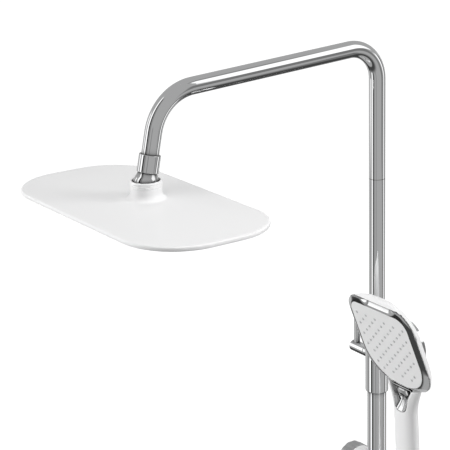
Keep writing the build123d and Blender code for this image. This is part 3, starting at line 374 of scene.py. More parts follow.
def corner_arc(before: Vector, here: Vector, after: Vector, radius: float, steps: int) -> Outline:
    """Round one corner of an outline.

    Args:
        before: The point before the corner.
        here: The corner.
        after: The point after the corner.
        radius: Radius of the rounding.
        steps: Parts of the arc.

    Returns:
        Points along the arc.
    """
    back = (before - here).normalized()
    ahead = (after - here).normalized()
    half = back.angle(ahead) / 2
    centre = here + (back + ahead).normalized() * (radius / math.sin(half))
    reach = radius / math.tan(half)
    first = here + back * reach - centre
    last = here + ahead * reach - centre
    start = math.atan2(first.y, first.x)
    sweep = (math.atan2(last.y, last.x) - start + math.pi) % math.tau - math.pi
    turns = [start + sweep * step / steps for step in range(steps + 1)]
    return [centre + Vector((math.cos(turn), math.sin(turn))) * radius for turn in turns]


def soft_profile(corners: list[tuple[float, ...]], steps: int = 6, hold: float = 0.12) -> Outline:
    """Round the inner corners of an open profile.

    Args:
        corners: Points as (across, up) or (across, up, radius).
        steps: Parts of each rounding.
        hold: Distance of a holding point before and after each rounding.

    Returns:
        The profile's points.
    """
    places = [Vector(corner[:2]) for corner in corners]
    points: Outline = []
    for index, corner in enumerate(corners):
        if len(corner) == 2:
            points.append(places[index])
            continue
        arc = corner_arc(places[index - 1], places[index], places[index + 1], corner[2], steps)
        points.append(arc[0] + (places[index - 1] - arc[0]).normalized() * hold)
        points.extend(arc)
        points.append(arc[-1] + (places[index + 1] - arc[-1]).normalized() * hold)
    return points


def rounded_polygon(corners: list[Corner], steps: int = 24) -> Outline:
    """Round the corners of a closed outline and fill its straight runs with points.

    Args:
        corners: Points as (across, up, radius).
        steps: Parts of each rounding and of each straight run.

    Returns:
        The outline's points.
    """
    places = [Vector(corner[:2]) for corner in corners]
    count = len(places)
    arcs = [
        corner_arc(places[index - 1], places[index], places[(index + 1) % count], corners[index][2], steps)
        for index in range(count)
    ]
    points: Outline = []
    for index, arc in enumerate(arcs):
        points.extend(arc)
        run = arcs[(index + 1) % count][0] - arc[-1]
        points.extend(arc[-1] + run * (step / steps) for step in range(1, steps))
    return points


def outline_radii(corners: list[Corner], count: int) -> list[float]:
    """Round the corners of an outline about the origin and read its radii.

    Args:
        corners: Points as (across, up, radius).
        count: How many evenly spaced directions to read.

    Returns:
        The distance from the origin to the outline in each direction.
    """
    spots = sorted((math.atan2(point.y, point.x), point.length) for point in rounded_polygon(corners))
    first = spots[0]
    last = spots[-1]
    spots = [(last[0] - math.tau, last[1]), *spots, (first[0] + math.tau, first[1])]
    radii = []
    for index in range(count):
        turn = (math.tau * index / count + math.pi) % math.tau - math.pi
        place = max(bisect_left(spots, (turn,)), 1)
        before = spots[place - 1]
        after = spots[place]
        share = (turn - before[0]) / max(after[0] - before[0], LEAST_TURN)
        radii.append(before[1] + (after[1] - before[1]) * share)
    return radii


def box_corners(half_x: float, half_y: float, radius: float, shift: float = 0.0) -> list[Corner]:
    """Corners of an upright box moved up by a shift, each with its radius."""
    signs = ((-1, -1), (1, -1), (1, 1), (-1, 1))
    return [(across * half_x, up * half_y + shift, radius) for across, up in signs]


def between(near: list[float], far: list[float], share: float) -> list[float]:
    """Radii part of the way from one ring to another."""
    return [first + (last - first) * share for first, last in zip(near, far)]


def blend(low: float, high: float, value: float) -> float:
    """Smooth step from 0 at low to 1 at high."""
    share = min(max((value - low) / (high - low), 0.0), 1.0)
    return share * share * (3.0 - 2.0 * share)


def polar_ring(radii: list[float], place: Matrix, heights: list[float] | float) -> Ring:
    """Place a ring given by its radii.

    Args:
        radii: Radius for each evenly spaced direction, in millimetres.
        place: Frame whose X and Y carry the ring, in millimetres.
        heights: Height along the frame's Z, one for all points or one each.

    Returns:
        The ring's points in metres.
    """
    count = len(radii)
    levels = heights if isinstance(heights, list) else [heights] * count
    ring = []
    for index, radius in enumerate(radii):
        turn = math.tau * index / count
        spot = Vector((radius * math.cos(turn), radius * math.sin(turn), levels[index]))
        ring.append((place @ spot) * MM)
    return ring


def turned_rings(profile: Outline, place: Matrix, count: int) -> list[Ring]:
    """Turn a profile of (radius, height) points about a frame's Z."""
    return [polar_ring([point.x] * count, place, point.y) for point in profile]


class Skin:
    """Mesh that grows from rows of closed rings."""

    def __init__(self) -> None:
        """Start with nothing."""
        self.work = bmesh.new()

    def patch(self, rings: list[Ring], cap_first: bool = False, cap_last: bool = False) -> None:
        """Join a row of closed rings with quads.

        Args:
            rings: Rings with the same number of points.
            cap_first: Close the first ring with a face.
            cap_last: Close the last ring with a face.
        """
        rows = [[self.work.verts.new(point) for point in ring] for ring in rings]
        count = len(rows[0])
        for low, high in zip(rows, rows[1:]):
            for index in range(count):
                after = (index + 1) % count
                self.work.faces.new((low[index], low[after], high[after], high[index]))
        if cap_first:
            self.work.faces.new(rows[0][::-1])
        if cap_last:
            self.work.faces.new(rows[-1])

    def mesh(self, sharp: float = 40.0) -> Mesh:
        """Finish the mesh.

        Args:
            sharp: Degrees between faces above which an edge stays sharp.

        Returns:
            The mesh, shaded smooth.
        """
        bmesh.ops.recalc_face_normals(self.work, faces=self.work.faces)
        mesh = bpy.data.meshes.new("skin")
        self.work.to_mesh(mesh)
        self.work.free()
        mesh.shade_smooth()
        mesh.set_sharp_from_angle(angle=math.radians(sharp))
        return mesh


def ring_mesh(
    rings: list[Ring], sharp: float = 40.0, cap_first: bool = False, cap_last: bool = False
) -> Mesh:
    """Make a finished mesh of one row of rings.

    Args:
        rings: Rings with the same number of points.
        sharp: Degrees between faces above which an edge stays sharp.
        cap_first: Close the first ring with a face.
        cap_last: Close the last ring with a face.

    Returns:
        The mesh, shaded smooth.
    """
    skin = Skin()
    skin.patch(rings, cap_first, cap_last)
    return skin.mesh(sharp)


def link(thing: Object) -> Object:
    """Put an object into the scene."""
    bpy.context.scene.collection.objects.link(thing)
    return thing


def shown_mesh(thing: Object) -> Mesh:
    """Bake an object's modifiers into a new smooth mesh and remove the object.

    Args:
        thing: A scratch object.

    Returns:
        The mesh with the modifiers in it.
    """
    shown = link(thing).evaluated_get(bpy.context.evaluated_depsgraph_get())
    mesh = bpy.data.meshes.new_from_object(shown)
    bpy.data.objects.remove(thing)
    mesh.shade_smooth()
    return mesh


def ease(thing: Object, passes: int, group: str = "") -> None:
    """Add rounds of smoothing to an object.

    Args:
        thing: The object.
        passes: Rounds of smoothing.
        group: Vertex group to keep to, if any.
    """
    smooth = thing.modifiers.new("soft_edges", "SMOOTH")
    smooth.iterations = passes
    smooth.vertex_group = group


def softened(node: str, voxel_mm: float, passes: int) -> Mesh:
    """Copy a moulded solid with an even skin and softly rounded edges.

    Args:
        node: Name of the solid.
        voxel_mm: Size of the skin's squares.
        passes: Rounds of smoothing.

    Returns:
        A new mesh.
    """
    thing = bpy.data.objects.new(f"{node}_scratch", frame["nodes"][node].data.copy())
    skin = thing.modifiers.new("even_skin", "REMESH")
    skin.mode = "VOXEL"
    skin.voxel_size = voxel_mm * MM
    ease(thing, passes)
    return shown_mesh(thing)


# Hanging pieces on their bodies
class Workshop:
    """Keeps the finishes, and hangs each new piece on the body of the solid that it stands for."""

    def __init__(self) -> None:
        """Build the finishes and read the record's bodies and slots."""
        trees = effect_trees()
        record = frame["record"]
        self.materials = {finish.slot.value: finish.build(trees) for finish in FINISHES}
        self.slots = {part["node"]: part["material_slot"] for part in record["subparts"]}
        bodies = record["behaviour"]["bodies"].items()
        self.bodies = {node: body for body, nodes in bodies for node in nodes}

    def paint(self, data: bpy.types.ID, node: str) -> None:
        """Give a mesh or a curve the finish of a solid's slot."""
        data.materials.clear()
        data.materials.append(self.materials[self.slots[node]])

    def add(self, piece: Object, node: str) -> Object:
        """Finish a piece that stands for a solid.

        Args:
            piece: The new object.
            node: Name of the solid.

        Returns:
            The piece.
        """
        link(piece)
        self.paint(piece.data, node)
        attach(piece, self.bodies[node])
        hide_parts(node)
        log.info("%s on %s, for %s", piece.name, self.bodies[node], node)
        return piece

    def add_mesh(self, name: str, mesh: Mesh, node: str) -> Object:
        """Make a piece from a mesh and finish it."""
        mesh.name = name
        return self.add(bpy.data.objects.new(name, mesh), node)

    def dress(self, node: str) -> None:
        """Give a solid the finish of its slot."""
        self.paint(frame["nodes"][node].data, node)
        log.info("%s dressed as %s", node, self.slots[node])


class SubAssembly:
    """Group of solids that are dressed together, with the pieces that stand for some of them."""

    solids: tuple[str, ...] = ()

    def build(self, workshop: Workshop) -> None:
        """Make the pieces; a group that shows its solids as they are makes none."""

    def dress(self, workshop: Workshop) -> None:
        """Give each solid its finish."""
        for node in self.solids:
            workshop.dress(node)


def frame_at(x: float, y: float, z: float, lean: float = 0.0) -> Matrix:
    """Frame at a place in millimetres, leaning about X by an angle in degrees."""
    return Matrix.Translation((x, y, z)) @ Matrix.Rotation(math.radians(lean), 4, "X")


# Riser, brackets and clamp lever
@dataclass
class Riser(SubAssembly):
    """Two tubes that slide in each other, with the clamp sleeve between them."""

    solids = (
        "lower_riser_tube", "upper_riser_tube", "telescope_piston", "telescope_seal", "arm_union",
        "union_seal", "clamp_sleeve", "guide_bush", "clamp_stud", "lever_hub", "lever_post",
    )


@dataclass
class WallBrackets(SubAssembly):
    """Posts, cover plates and fixing plates that hold the riser off the wall."""

    solids = (
        "upper_bracket_post", "upper_rosette", "upper_wall_plate", "upper_grub_screw",
        "lower_bracket_post", "lower_rosette", "lower_wall_plate", "lower_grub_screw",
    )


# Arm and ball joint
@dataclass
class ArmAndBall(SubAssembly):
    """Gooseneck arm with its nut and ball. Millimetres, in the stem's leaning frame."""

    stem_y: float = -368.241
    stem_z: float = 307.010
    stem_lean: float = -12.0
    nut_r: float = 12.3
    nut_top: float = 7.4
    nut_foot: float = -12.8
    nut_edge: float = 0.9
    tube_r: float = 10.05
    shank_r: float = 9.25
    ball_r: float = 14.6
    ball_z: float = -24.7
    neck_r: float = 10.6
    neck_latitude: float = 33.0
    foot_latitude: float = -65.0
    bore_r: float = 4.0
    arc_steps: int = 40
    sides: int = 96
    solids = ("gooseneck_arm", "stem_washer", "ball_seat_ring", "ball_seat_cup")

    def build(self, workshop: Workshop) -> None:
        """Make the nut and the ball.

        Args:
            workshop: Takes the finished pieces.
        """
        place = frame_at(0.0, self.stem_y, self.stem_z, self.stem_lean)
        workshop.add_mesh("stem_nut_turned", self.nut(place), "stem_nut")
        workshop.add_mesh("swivel_ball_turned", self.ball(place), "swivel_ball")

    def nut(self, place: Matrix) -> Mesh:
        """Turn the nut with a softly broken edge at both ends.

        Args:
            place: The stem's frame.

        Returns:
            The nut's mesh.
        """
        profile = soft_profile([
            (self.shank_r, 0.0), (self.shank_r, self.nut_foot), (self.nut_r, self.nut_foot, self.nut_edge),
            (self.nut_r, self.nut_top, self.nut_edge), (self.tube_r, self.nut_top), (self.tube_r, 0.0),
        ])
        return ring_mesh(turned_rings(profile, place, self.sides))

    def ball(self, place: Matrix) -> Mesh:
        """Turn the ball with its conical neck and its bore.

        Args:
            place: The stem's frame.

        Returns:
            The ball's mesh.
        """
        profile = [Vector((self.shank_r, self.nut_foot)), Vector((self.neck_r, self.nut_foot))]
        for step in range(self.arc_steps + 1):
            share = step / self.arc_steps
            latitude = self.neck_latitude + (self.foot_latitude - self.neck_latitude) * share
            turn = math.radians(latitude)
            profile.append(Vector((self.ball_r * math.cos(turn), self.ball_z + self.ball_r * math.sin(turn))))
        foot = profile[-1].y
        profile.append(Vector((self.bore_r, foot)))
        profile.append(Vector((self.bore_r, self.nut_foot)))
        return ring_mesh(turned_rings(profile, place, self.sides), sharp=30.0)


# Rain head
@dataclass
class RainHead(SubAssembly):
    """Wide thin rain head with its collar and nozzles. Millimetres."""

    width: float = 342.0
    depth: float = 171.0
    corner: float = 67.5
    forward: float = 7.56
    ball_y: float = -373.378
    ball_z: float = 282.845
    rim_top: float = 262.105
    rim_height: float = 5.0
    rim_inside: float = 1.0
    rim_foot_inset: float = 1.1
    # Inset, and drop below the rim's top
    rim_edge: Rows = (
        (0.45, 4.8), (0.1, 4.35), (0.0, 3.6), (0.0, 2.3), (0.12, 1.5), (0.5, 0.8), (1.2, 0.3), (2.4, 0.02),
    )
    dome_inset: float = 4.2
    dome_start: float = 0.08
    dome_swell: float = 1.15
    crown_rise: float = 4.0
    plate_inset: float = 3.5
    foot_fillet: float = 7.0
    fillet_step: int = 8
    collar_r: float = 18.0
    collar_rise: float = 3.5
    collar_foot: float = -15.0
    collar_edge: float = 1.3
    groove_pitch: float = 2.4
    groove_depth: float = 0.45
    groove_half: float = 0.6
    groove_edge: float = 0.2
    groove_floor_r: float = 0.15
    grooves: int = 3
    lip_r: float = 15.95
    lip_edge: float = 0.4
    lip_drop: float = 2.0
    collar_sides: int = 96
    mat_thick: float = 1.4
    plate_thick: float = 2.2
    plate_proud: float = 1.0
    nozzle_r: float = 1.9
    nozzle_tip_r: float = 1.2
    nozzle_hole_r: float = 0.55
    nozzle_length: float = 2.0
    nozzle_shoulder: float = 0.4
    nozzle_shoulder_r: float = 0.5
    nozzle_tip_edge: float = 0.3
    nozzle_hole_edge: float = 0.15
    nozzle_hole_depth: float = 0.6
    nozzle_sides: int = 14
    nozzle_columns: int = 13
    nozzle_rows: int = 6
    nozzle_margin: float = 12.0
    sides: int = 192
    dome_steps: int = 26
    solids = ("rain_spray_plate", "rain_gasket")

    def build(self, workshop: Workshop) -> None:
        """Make the cover, the collar and the nozzle mat.

        Args:
            workshop: Takes the finished pieces.
        """
        cover = workshop.add_mesh("rain_cover_smooth", self.cover(), "rain_cover")
        workshop.add_mesh("ball_collar_ribbed", self.collar(), "ball_collar")
        mat = workshop.add_mesh("rain_nozzles", self.nozzles(), "rain_nozzle_mat")
        for thing in (cover, mat, *(frame["nodes"][name] for name in self.solids)):
            thing.visible_glossy = False

    def outline(self, inset: float) -> list[float]:
        """Radii of the head's outline about the ball's axis, drawn in by an inset."""
        halves = (self.width / 2 - inset, self.depth / 2 - inset)
        return outline_radii(box_corners(*halves, self.corner - inset, -self.forward), self.sides)

    def cover(self) -> Mesh:
        """Skin the cover: soft rim, shallow dome and a fillet that runs up into the collar.

        Returns:
            The cover's mesh.
        """
        place = frame_at(0.0, self.ball_y, self.rim_top)
        foot = -self.rim_height
        edge = [(self.plate_inset, foot + self.rim_inside), (self.plate_inset, foot)]
        edge.append((self.rim_foot_inset, foot))
        edge += [(inset, -drop) for inset, drop in self.rim_edge]
        rings = [polar_ring(self.outline(inset), place, height) for inset, height in edge]
        wide = self.outline(self.dome_inset)
        narrow = self.collar_r + self.foot_fillet
        for step in range(self.dome_steps + 1):
            share = step / self.dome_steps
            height = self.dome_start + (self.crown_rise - self.dome_start) * share ** self.dome_swell
            rings.append(polar_ring(between(wide, [narrow] * self.sides, share), place, height))
        for degrees in range(self.fillet_step, 90, self.fillet_step):
            turn = math.radians(degrees)
            radius = narrow - self.foot_fillet * math.sin(turn)
            height = self.crown_rise + self.foot_fillet * (1.0 - math.cos(turn))
            rings.append(polar_ring([radius] * self.sides, place, height))
        return ring_mesh(rings)

    def collar(self) -> Mesh:
        """Turn the collar with its ribs and the lip that holds the ball.

        Returns:
            The collar's mesh.
        """
        corners: list[tuple[float, ...]] = [(self.collar_r, self.collar_foot)]
        for index in range(self.grooves, 0, -1):
            height = self.collar_rise - self.groove_pitch * index
            corners.append((self.collar_r, height - self.groove_half, self.groove_edge))
            corners.append((self.collar_r - self.groove_depth, height, self.groove_floor_r))
            corners.append((self.collar_r, height + self.groove_half, self.groove_edge))
        mouth = math.sqrt(self.lip_r ** 2 - self.collar_rise ** 2)
        corners.append((self.collar_r, self.collar_rise, self.collar_edge))
        corners.append((mouth, self.collar_rise, self.lip_edge))
        corners.append((self.lip_r, 0.0))
        corners.append((self.lip_r, -self.lip_drop))
        profile = soft_profile(corners, steps=4, hold=0.02)
        place = frame_at(0.0, self.ball_y, self.ball_z)
        return ring_mesh(turned_rings(profile, place, self.collar_sides), sharp=70.0)

    def nozzle_places(self) -> list[tuple[float, float]]:
        """Find the staggered nozzle centres that lie inside the outline.

        Returns:
            Places as (x, y).
        """
        reach_x = self.width / 2 - self.nozzle_margin
        reach_y = self.depth / 2 - self.nozzle_margin
        corner = self.corner - self.nozzle_margin
        places = []
        for row in range(self.nozzle_rows):
            y = (row - (self.nozzle_rows - 1) / 2) * 2 * reach_y / self.nozzle_rows
            for column in range(self.nozzle_columns):
                shift = (row % 2 - 0.5) / 2
                x = (column - (self.nozzle_columns - 1) / 2 + shift) * 2 * reach_x / self.nozzle_columns
                over_x = max(abs(x) - reach_x + corner, 0.0)
                over_y = max(abs(y) - reach_y + corner, 0.0)
                if math.hypot(over_x, over_y) <= corner:
                    places.append((x, self.ball_y - self.forward + y))
        return places

    def nozzles(self) -> Mesh:
        """Mould the silicone mat with one tapered nozzle at each place.

        Returns:
            The mat's mesh.
        """
        foot = self.rim_top - self.rim_height - self.plate_proud
        top = foot + self.plate_thick
        inner = self.outline(self.plate_inset)
        level = frame_at(0.0, self.ball_y, 0.0)
        skin = Skin()
        mat = [polar_ring(inner, level, top), polar_ring(inner, level, top + self.mat_thick)]
        skin.patch(mat, cap_first=True, cap_last=True)
        length = self.nozzle_length
        profile = soft_profile([
            (self.nozzle_r, self.plate_thick), (self.nozzle_r, -self.nozzle_shoulder, self.nozzle_shoulder_r),
            (self.nozzle_tip_r, -length, self.nozzle_tip_edge),
            (self.nozzle_hole_r, -length, self.nozzle_hole_edge),
            (self.nozzle_hole_r, -self.nozzle_hole_depth),
        ], steps=3, hold=0.03)
        for x, y in self.nozzle_places():
            skin.patch(turned_rings(profile, frame_at(x, y, foot), self.nozzle_sides), cap_last=True)
        return skin.mesh(sharp=50.0)


# Slider and holder
@dataclass
class Slider(SubAssembly):
    """Slider barrel on the lower tube with its clamp knob. Millimetres."""

    knob_x: float = -36.3
    axis_y: float = -48.0
    axis_z: float = -156.0
    knob_r: float = 21.0
    knob_length: float = 17.0
    flutes: int = 12
    flute_depth: float = 1.1
    flute_tightness: float = 1.7
    dish_r: float = 15.6
    # Inset, distance from the near or far end, and share of the flutes' depth
    near_edge: Rows = ((4.0, 0.0, 0.0), (1.5, 0.0, 0.0), (0.7, 0.25, 0.25), (0.2, 0.8, 0.7), (0.0, 1.7, 1.0))
    far_edge: Rows = ((0.0, 2.4, 1.0), (0.15, 1.3, 0.85), (0.6, 0.5, 0.5), (1.4, 0.1, 0.15), (2.2, 0.0, 0.0))
    # Distance outside the dish, and drop below the end
    dish_edge: Rows = ((0.8, 0.0), (0.3, 0.1), (0.0, 0.5), (-0.4, 0.7))
    centre_r: float = 0.5
    sides: int = 288
    solids = ("slider_body", "slider_bush", "axle_pin", "knob_stud")

    def build(self, workshop: Workshop) -> None:
        """Make the clamp knob."""
        workshop.add_mesh("slider_knob_fluted", self.knob(), "slider_knob")

    def knob(self) -> Mesh:
        """Mould the knob with soft finger flutes and a shallow dish in its end.

        Returns:
            The knob's mesh.
        """
        place = frame_at(self.knob_x, self.axis_y, self.axis_z) @ SIDEWAYS
        end = self.knob_length
        rows = [(self.knob_r - inset, height, depth) for inset, height, depth in self.near_edge]
        rows.append((self.knob_r, end / 2, 1.0))
        rows += [(self.knob_r - inset, end - drop, depth) for inset, drop, depth in self.far_edge]
        rows += [(self.dish_r + out, end - drop, 0.0) for out, drop in self.dish_edge]
        rows.append((self.centre_r, rows[-1][1], 0.0))
        waves = []
        for index in range(self.sides):
            wave = 0.5 + 0.5 * math.cos(math.tau * self.flutes * index / self.sides)
            waves.append(wave ** self.flute_tightness)
        rings = []
        for radius, height, depth in rows:
            radii = [radius - self.flute_depth * depth * wave for wave in waves]
            rings.append(polar_ring(radii, place, height))
        return ring_mesh(rings, sharp=50.0, cap_last=True)


@dataclass
class Holder(SubAssembly):
    """Open cone that the hand shower drops into."""

    skin_mm: float = 0.7
    passes: int = 5
    solids = ("holder_axle",)

    def build(self, workshop: Workshop) -> None:
        """Make the moulded cone with soft edges."""
        mesh = softened("holder_cone", self.skin_mm, self.passes)
        workshop.add_mesh("holder_cone_moulded", mesh, "holder_cone")


# Pipe threads
@dataclass(frozen=True)
class PipeThread:
    """Half-inch pipe thread. Millimetres."""

    radius: float = 10.4775
    depth: float = 0.9
    pitch: float = 1.814
    length: float = 16.0
    run_out: float = 0.4
    end_r: float = 9.4
    bore_r: float = 4.5
    fade_out: float = 0.4
    rows_per_turn: int = 8
    sides: int = 72

    def rings(self, place: Matrix, top: float, bore_top: float) -> list[Ring]:
        """Cut the thread down from a height, and its bore back up.

        Args:
            place: Frame whose Z is the thread's axis.
            top: Height where the thread starts.
            bore_top: Height where the bore ends.

        Returns:
            Rings from the thread's top to its foot and up the bore.
        """
        cut = self.length - self.run_out
        rows = int(cut / self.pitch * self.rows_per_turn)
        rings = []
        for row in range(rows + 1):
            run = cut * row / rows
            fade = blend(0.0, self.pitch, run) * (1.0 - blend(cut - self.pitch, cut, run) * self.fade_out)
            radii = []
            for index in range(self.sides):
                wave = 0.5 + 0.5 * math.cos(math.tau * (run / self.pitch + index / self.sides))
                radii.append(self.radius - self.depth * fade * wave)
            rings.append(polar_ring(radii, place, top - run))
        foot = top - self.length
        end = [Vector((self.end_r, foot)), Vector((self.bore_r, foot)), Vector((self.bore_r, bore_top))]
        return rings + turned_rings(end, place, self.sides)


# Hand shower
@dataclass(frozen=True)
class Shield:
    """Straight-sided outline with rounded corners, about the middle of the face. Millimetres."""

    top: float
    foot: float
    top_half: float
    foot_half: float
    top_r: float
    foot_r: float

    def radii(self, count: int, grow: float = 0.0) -> list[float]:
        """Read the outline, grown by an amount on every side.

        Args:
            count: How many evenly spaced directions to read.
            grow: How much larger than the shield the outline is.

        Returns:
            The radius in each direction.
        """
        upper = (self.top_half + grow, self.top + grow, self.top_r + grow)
        lower = (self.foot_half + grow, -self.foot - grow, self.foot_r + grow)
        sides = ((-1, upper), (1, upper), (1, lower), (-1, lower))
        return outline_radii([(side * half, up, radius) for side, (half, up, radius) in sides], count)


@dataclass
class HandShower(SubAssembly):
    """Hand shower in its own frame, with Z along the handle. Millimetres and degrees."""

    place_x: float = 70.0
    place_y: float = -53.0
    place_z: float = -156.0
    lean: float = 3.25
    face_forward: float = 22.6
    face_along: float = 198.8
    face_tilt: float = 18.2
    face: Shield = Shield(top=56.5, foot=56.5, top_half=51.4, foot_half=52.6, top_r=16.0, foot_r=45.0)
    bezel_rim: Shield = Shield(top=64.5, foot=58.5, top_half=58.6, foot_half=60.0, top_r=25.0, foot_r=37.0)
    bezel_drop: float = 2.5
    bezel_middle_drop: float = 4.0
    bezel_end_drop: float = 0.3
    bezel_middle: float = 86.0
    bezel_middle_span: tuple[float, float] = (16.0, 27.0)
    bezel_end_span: tuple[float, float] = (38.0, 52.0)
    bezel_round: float = 1.4
    bezel_depth: float = 5.0
    bezel_proud: float = 0.5
    bezel_edge: float = 0.6
    bezel_gap: float = 0.02
    bezel_chamfer: float = 0.1
    bezel_steps: int = 12
    nozzle_pitch: float = 17.0
    nozzle_row: float = 8.0
    nozzle_margin: float = 9.0
    nozzle_r: float = 1.4
    skirt_r: float = 2.3
    skirt_height: float = 0.02
    skirt_edge: float = 0.1
    # Shares of the nozzle's radius and length, and rounding
    nub: Rows = ((1.0, 0.5, 0.3), (0.65, 1.0, 0.2), (0.3, 1.0, 0.05))
    nozzle_sides: int = 16
    nozzle_length: float = 0.8
    mat_back: float = -4.2
    mat_front: float = -2.6
    mat_inset: float = 2.4
    tray_middle: float = 129.0
    tray_top: float = 143.0
    tray_top_half: float = 20.0
    tray_top_r: float = 2.0
    tray_waist: float = 130.0
    tray_waist_half: float = 13.5
    tray_waist_r: float = 8.0
    tray_foot: float = 111.0
    tray_foot_half: float = 9.0
    tray_foot_r: float = 7.5
    tray_rim_foot: float = 10.0
    tray_rim_top: float = 6.0
    tray_floor: float = 3.1
    tray_back: float = 2.8
    # Inset, and drop below the rim
    tray_edge: Rows = ((0.0, 0.6), (0.12, 0.25), (0.45, 0.05), (0.9, 0.0), (1.35, 0.12), (1.7, 0.45))
    tray_sweep: float = 1.8
    tray_steps: int = 10
    button_along: float = 134.5
    button_half_width: float = 11.5
    button_half_height: float = 5.5
    button_front: float = 5.4
    button_back: float = 1.9
    button_gap: float = 0.3
    button_back_share: float = 0.84
    button_chamfer: float = 1.1
    # Share of the oval, and drop below the front
    button_dome: Rows = (
        (1.0, 2.2), (0.99, 1.75), (0.95, 1.3), (0.88, 0.92), (0.75, 0.56), (0.5, 0.22), (0.25, 0.05),
        (0.04, 0.0),
    )
    coil_back: float = 1.2
    coil_r: float = 3.1
    coil_wire: float = 0.35
    coil_length: float = 2.5
    coil_turns: int = 3
    coil_steps: int = 12
    coil_roundness: int = 3
    coil_order: int = 3
    inlet_spigot_r: float = 7.45
    inlet_top: float = -9.0
    inlet_thread_top: float = -17.0
    shell_skin_mm: float = 1.0
    shell_passes: int = 3
    neck_passes: int = 90
    neck_behind: tuple[float, float] = (9.0, 13.0)
    neck_start: tuple[float, float] = (125.0, 145.0)
    neck_end: tuple[float, float] = (215.0, 235.0)
    sides: int = 192
    solids = ("hand_face",)

    def build(self, workshop: Workshop) -> None:
        """Make the shell, bezel, nozzles, thumb tray, button, its coil and the inlet.

        Args:
            workshop: Takes the finished pieces.
        """
        workshop.add_mesh("hand_shell_smooth", self.shell(), "hand_shell")
        workshop.add_mesh("hand_bezel_rounded", self.bezel(), "hand_bezel")
        workshop.add_mesh("hand_nozzles", self.nozzles(), "hand_nozzle_mat")
        workshop.add_mesh("thumb_tray", self.tray(), "neck_trim")
        workshop.add_mesh("selector_button_domed", self.button(), "selector_button")
        workshop.add(self.coil(), "button_spring")
        workshop.add_mesh("hand_inlet_threaded", self.inlet(), "hand_inlet")

    def hand_frame(self) -> Matrix:
        """Frame at the holder's cone with Z along the handle."""
        return frame_at(self.place_x, self.place_y, self.place_z, self.lean)

    def face_frame(self) -> Matrix:
        """Frame at the middle of the face: X across, Y up the face, Z out of it."""
        tilt = frame_at(0.0, -self.face_forward, self.face_along, TO_FRONT + self.face_tilt)
        return self.hand_frame() @ tilt

    def front_frame(self, along: float) -> Matrix:
        """Frame on the handle's axis: X across, Y along the handle, Z out to the front."""
        return self.hand_frame() @ frame_at(0.0, 0.0, along, TO_FRONT)

    def shell(self) -> Mesh:
        """Give the shell an even skin, and ease the neck into the back of the head.

        Returns:
            The shell's mesh.
        """
        mesh = softened("hand_shell", self.shell_skin_mm, self.shell_passes)
        thing = bpy.data.objects.new("shell_scratch", mesh)
        neck = thing.vertex_groups.new(name="neck")
        to_face = self.face_frame().inverted()
        to_hand = self.hand_frame().inverted()
        for vert in thing.data.vertices:
            spot = vert.co / MM
            behind = -(to_face @ spot).z
            along = (to_hand @ spot).z
            share = blend(*self.neck_behind, behind) * blend(*self.neck_start, along)
            share *= 1.0 - blend(*self.neck_end, along)
            neck.add([vert.index], share, "REPLACE")
        ease(thing, self.neck_passes, neck.name)
        return shown_mesh(thing)

    def bezel_fall(self, angle: float) -> float:
        """How far the bezel's outer edge lies behind the face.

        Args:
            angle: Degrees round the face from its right side.

        Returns:
            The drop, most in the middle of the top edge and least towards its ends.
        """
        away = abs(angle - self.bezel_middle)
        to_end = self.bezel_end_drop - self.bezel_middle_drop
        to_side = self.bezel_drop - self.bezel_end_drop
        drop = self.bezel_middle_drop + to_end * blend(*self.bezel_middle_span, away)
        return drop + to_side * blend(*self.bezel_end_span, away)

    def bezel(self) -> Mesh:
        """Skin the bezel as a rounded band from the face's edge back to the shell.

        Returns:
            The bezel's mesh.
        """
        place = self.face_frame()
        gap = self.bezel_gap
        chamfer = self.bezel_chamfer
        inner = self.face.radii(self.sides, gap)
        crest = self.face.radii(self.sides, self.bezel_edge)
        outer = self.bezel_rim.radii(self.sides)
        rings = [polar_ring(inner, place, -self.bezel_depth), polar_ring(inner, place, -chamfer)]
        rings.append(polar_ring(self.face.radii(self.sides, gap + chamfer), place, chamfer))
        drops = [self.bezel_fall(360.0 * index / self.sides) for index in range(self.sides)]
        for step in range(self.bezel_steps + 1):
            share = step / self.bezel_steps
            fall = share ** self.bezel_round
            heights = [self.bezel_proud - (drop + self.bezel_proud) * fall for drop in drops]
            rings.append(polar_ring(between(crest, outer, share), place, heights))
        rings.append(polar_ring(outer, place, -self.bezel_depth))
        return ring_mesh(rings + [rings[0]], sharp=45.0)

    def nozzle_places(self) -> list[tuple[float, float]]:
        """Find the staggered nozzle centres on the face.

        Returns:
            Places as (across, up).
        """
        face = self.face
        rows = int((face.foot - self.nozzle_margin) / self.nozzle_row)
        columns = int(2 * face.foot_half / self.nozzle_pitch)
        places = []
        for row in range(-rows, rows + 1):
            up = row * self.nozzle_row
            share = (up + face.foot) / (face.top + face.foot)
            half = face.foot_half + (face.top_half - face.foot_half) * share
            below = max(face.foot_r - face.foot - up, 0.0)
            reach = half - face.foot_r + math.sqrt(face.foot_r ** 2 - below ** 2)
            for column in range(-columns, columns + 1):
                across = (column + (row % 2) / 2) * self.nozzle_pitch
                if abs(across) <= reach - self.nozzle_margin:
                    places.append((across, up))
        return places

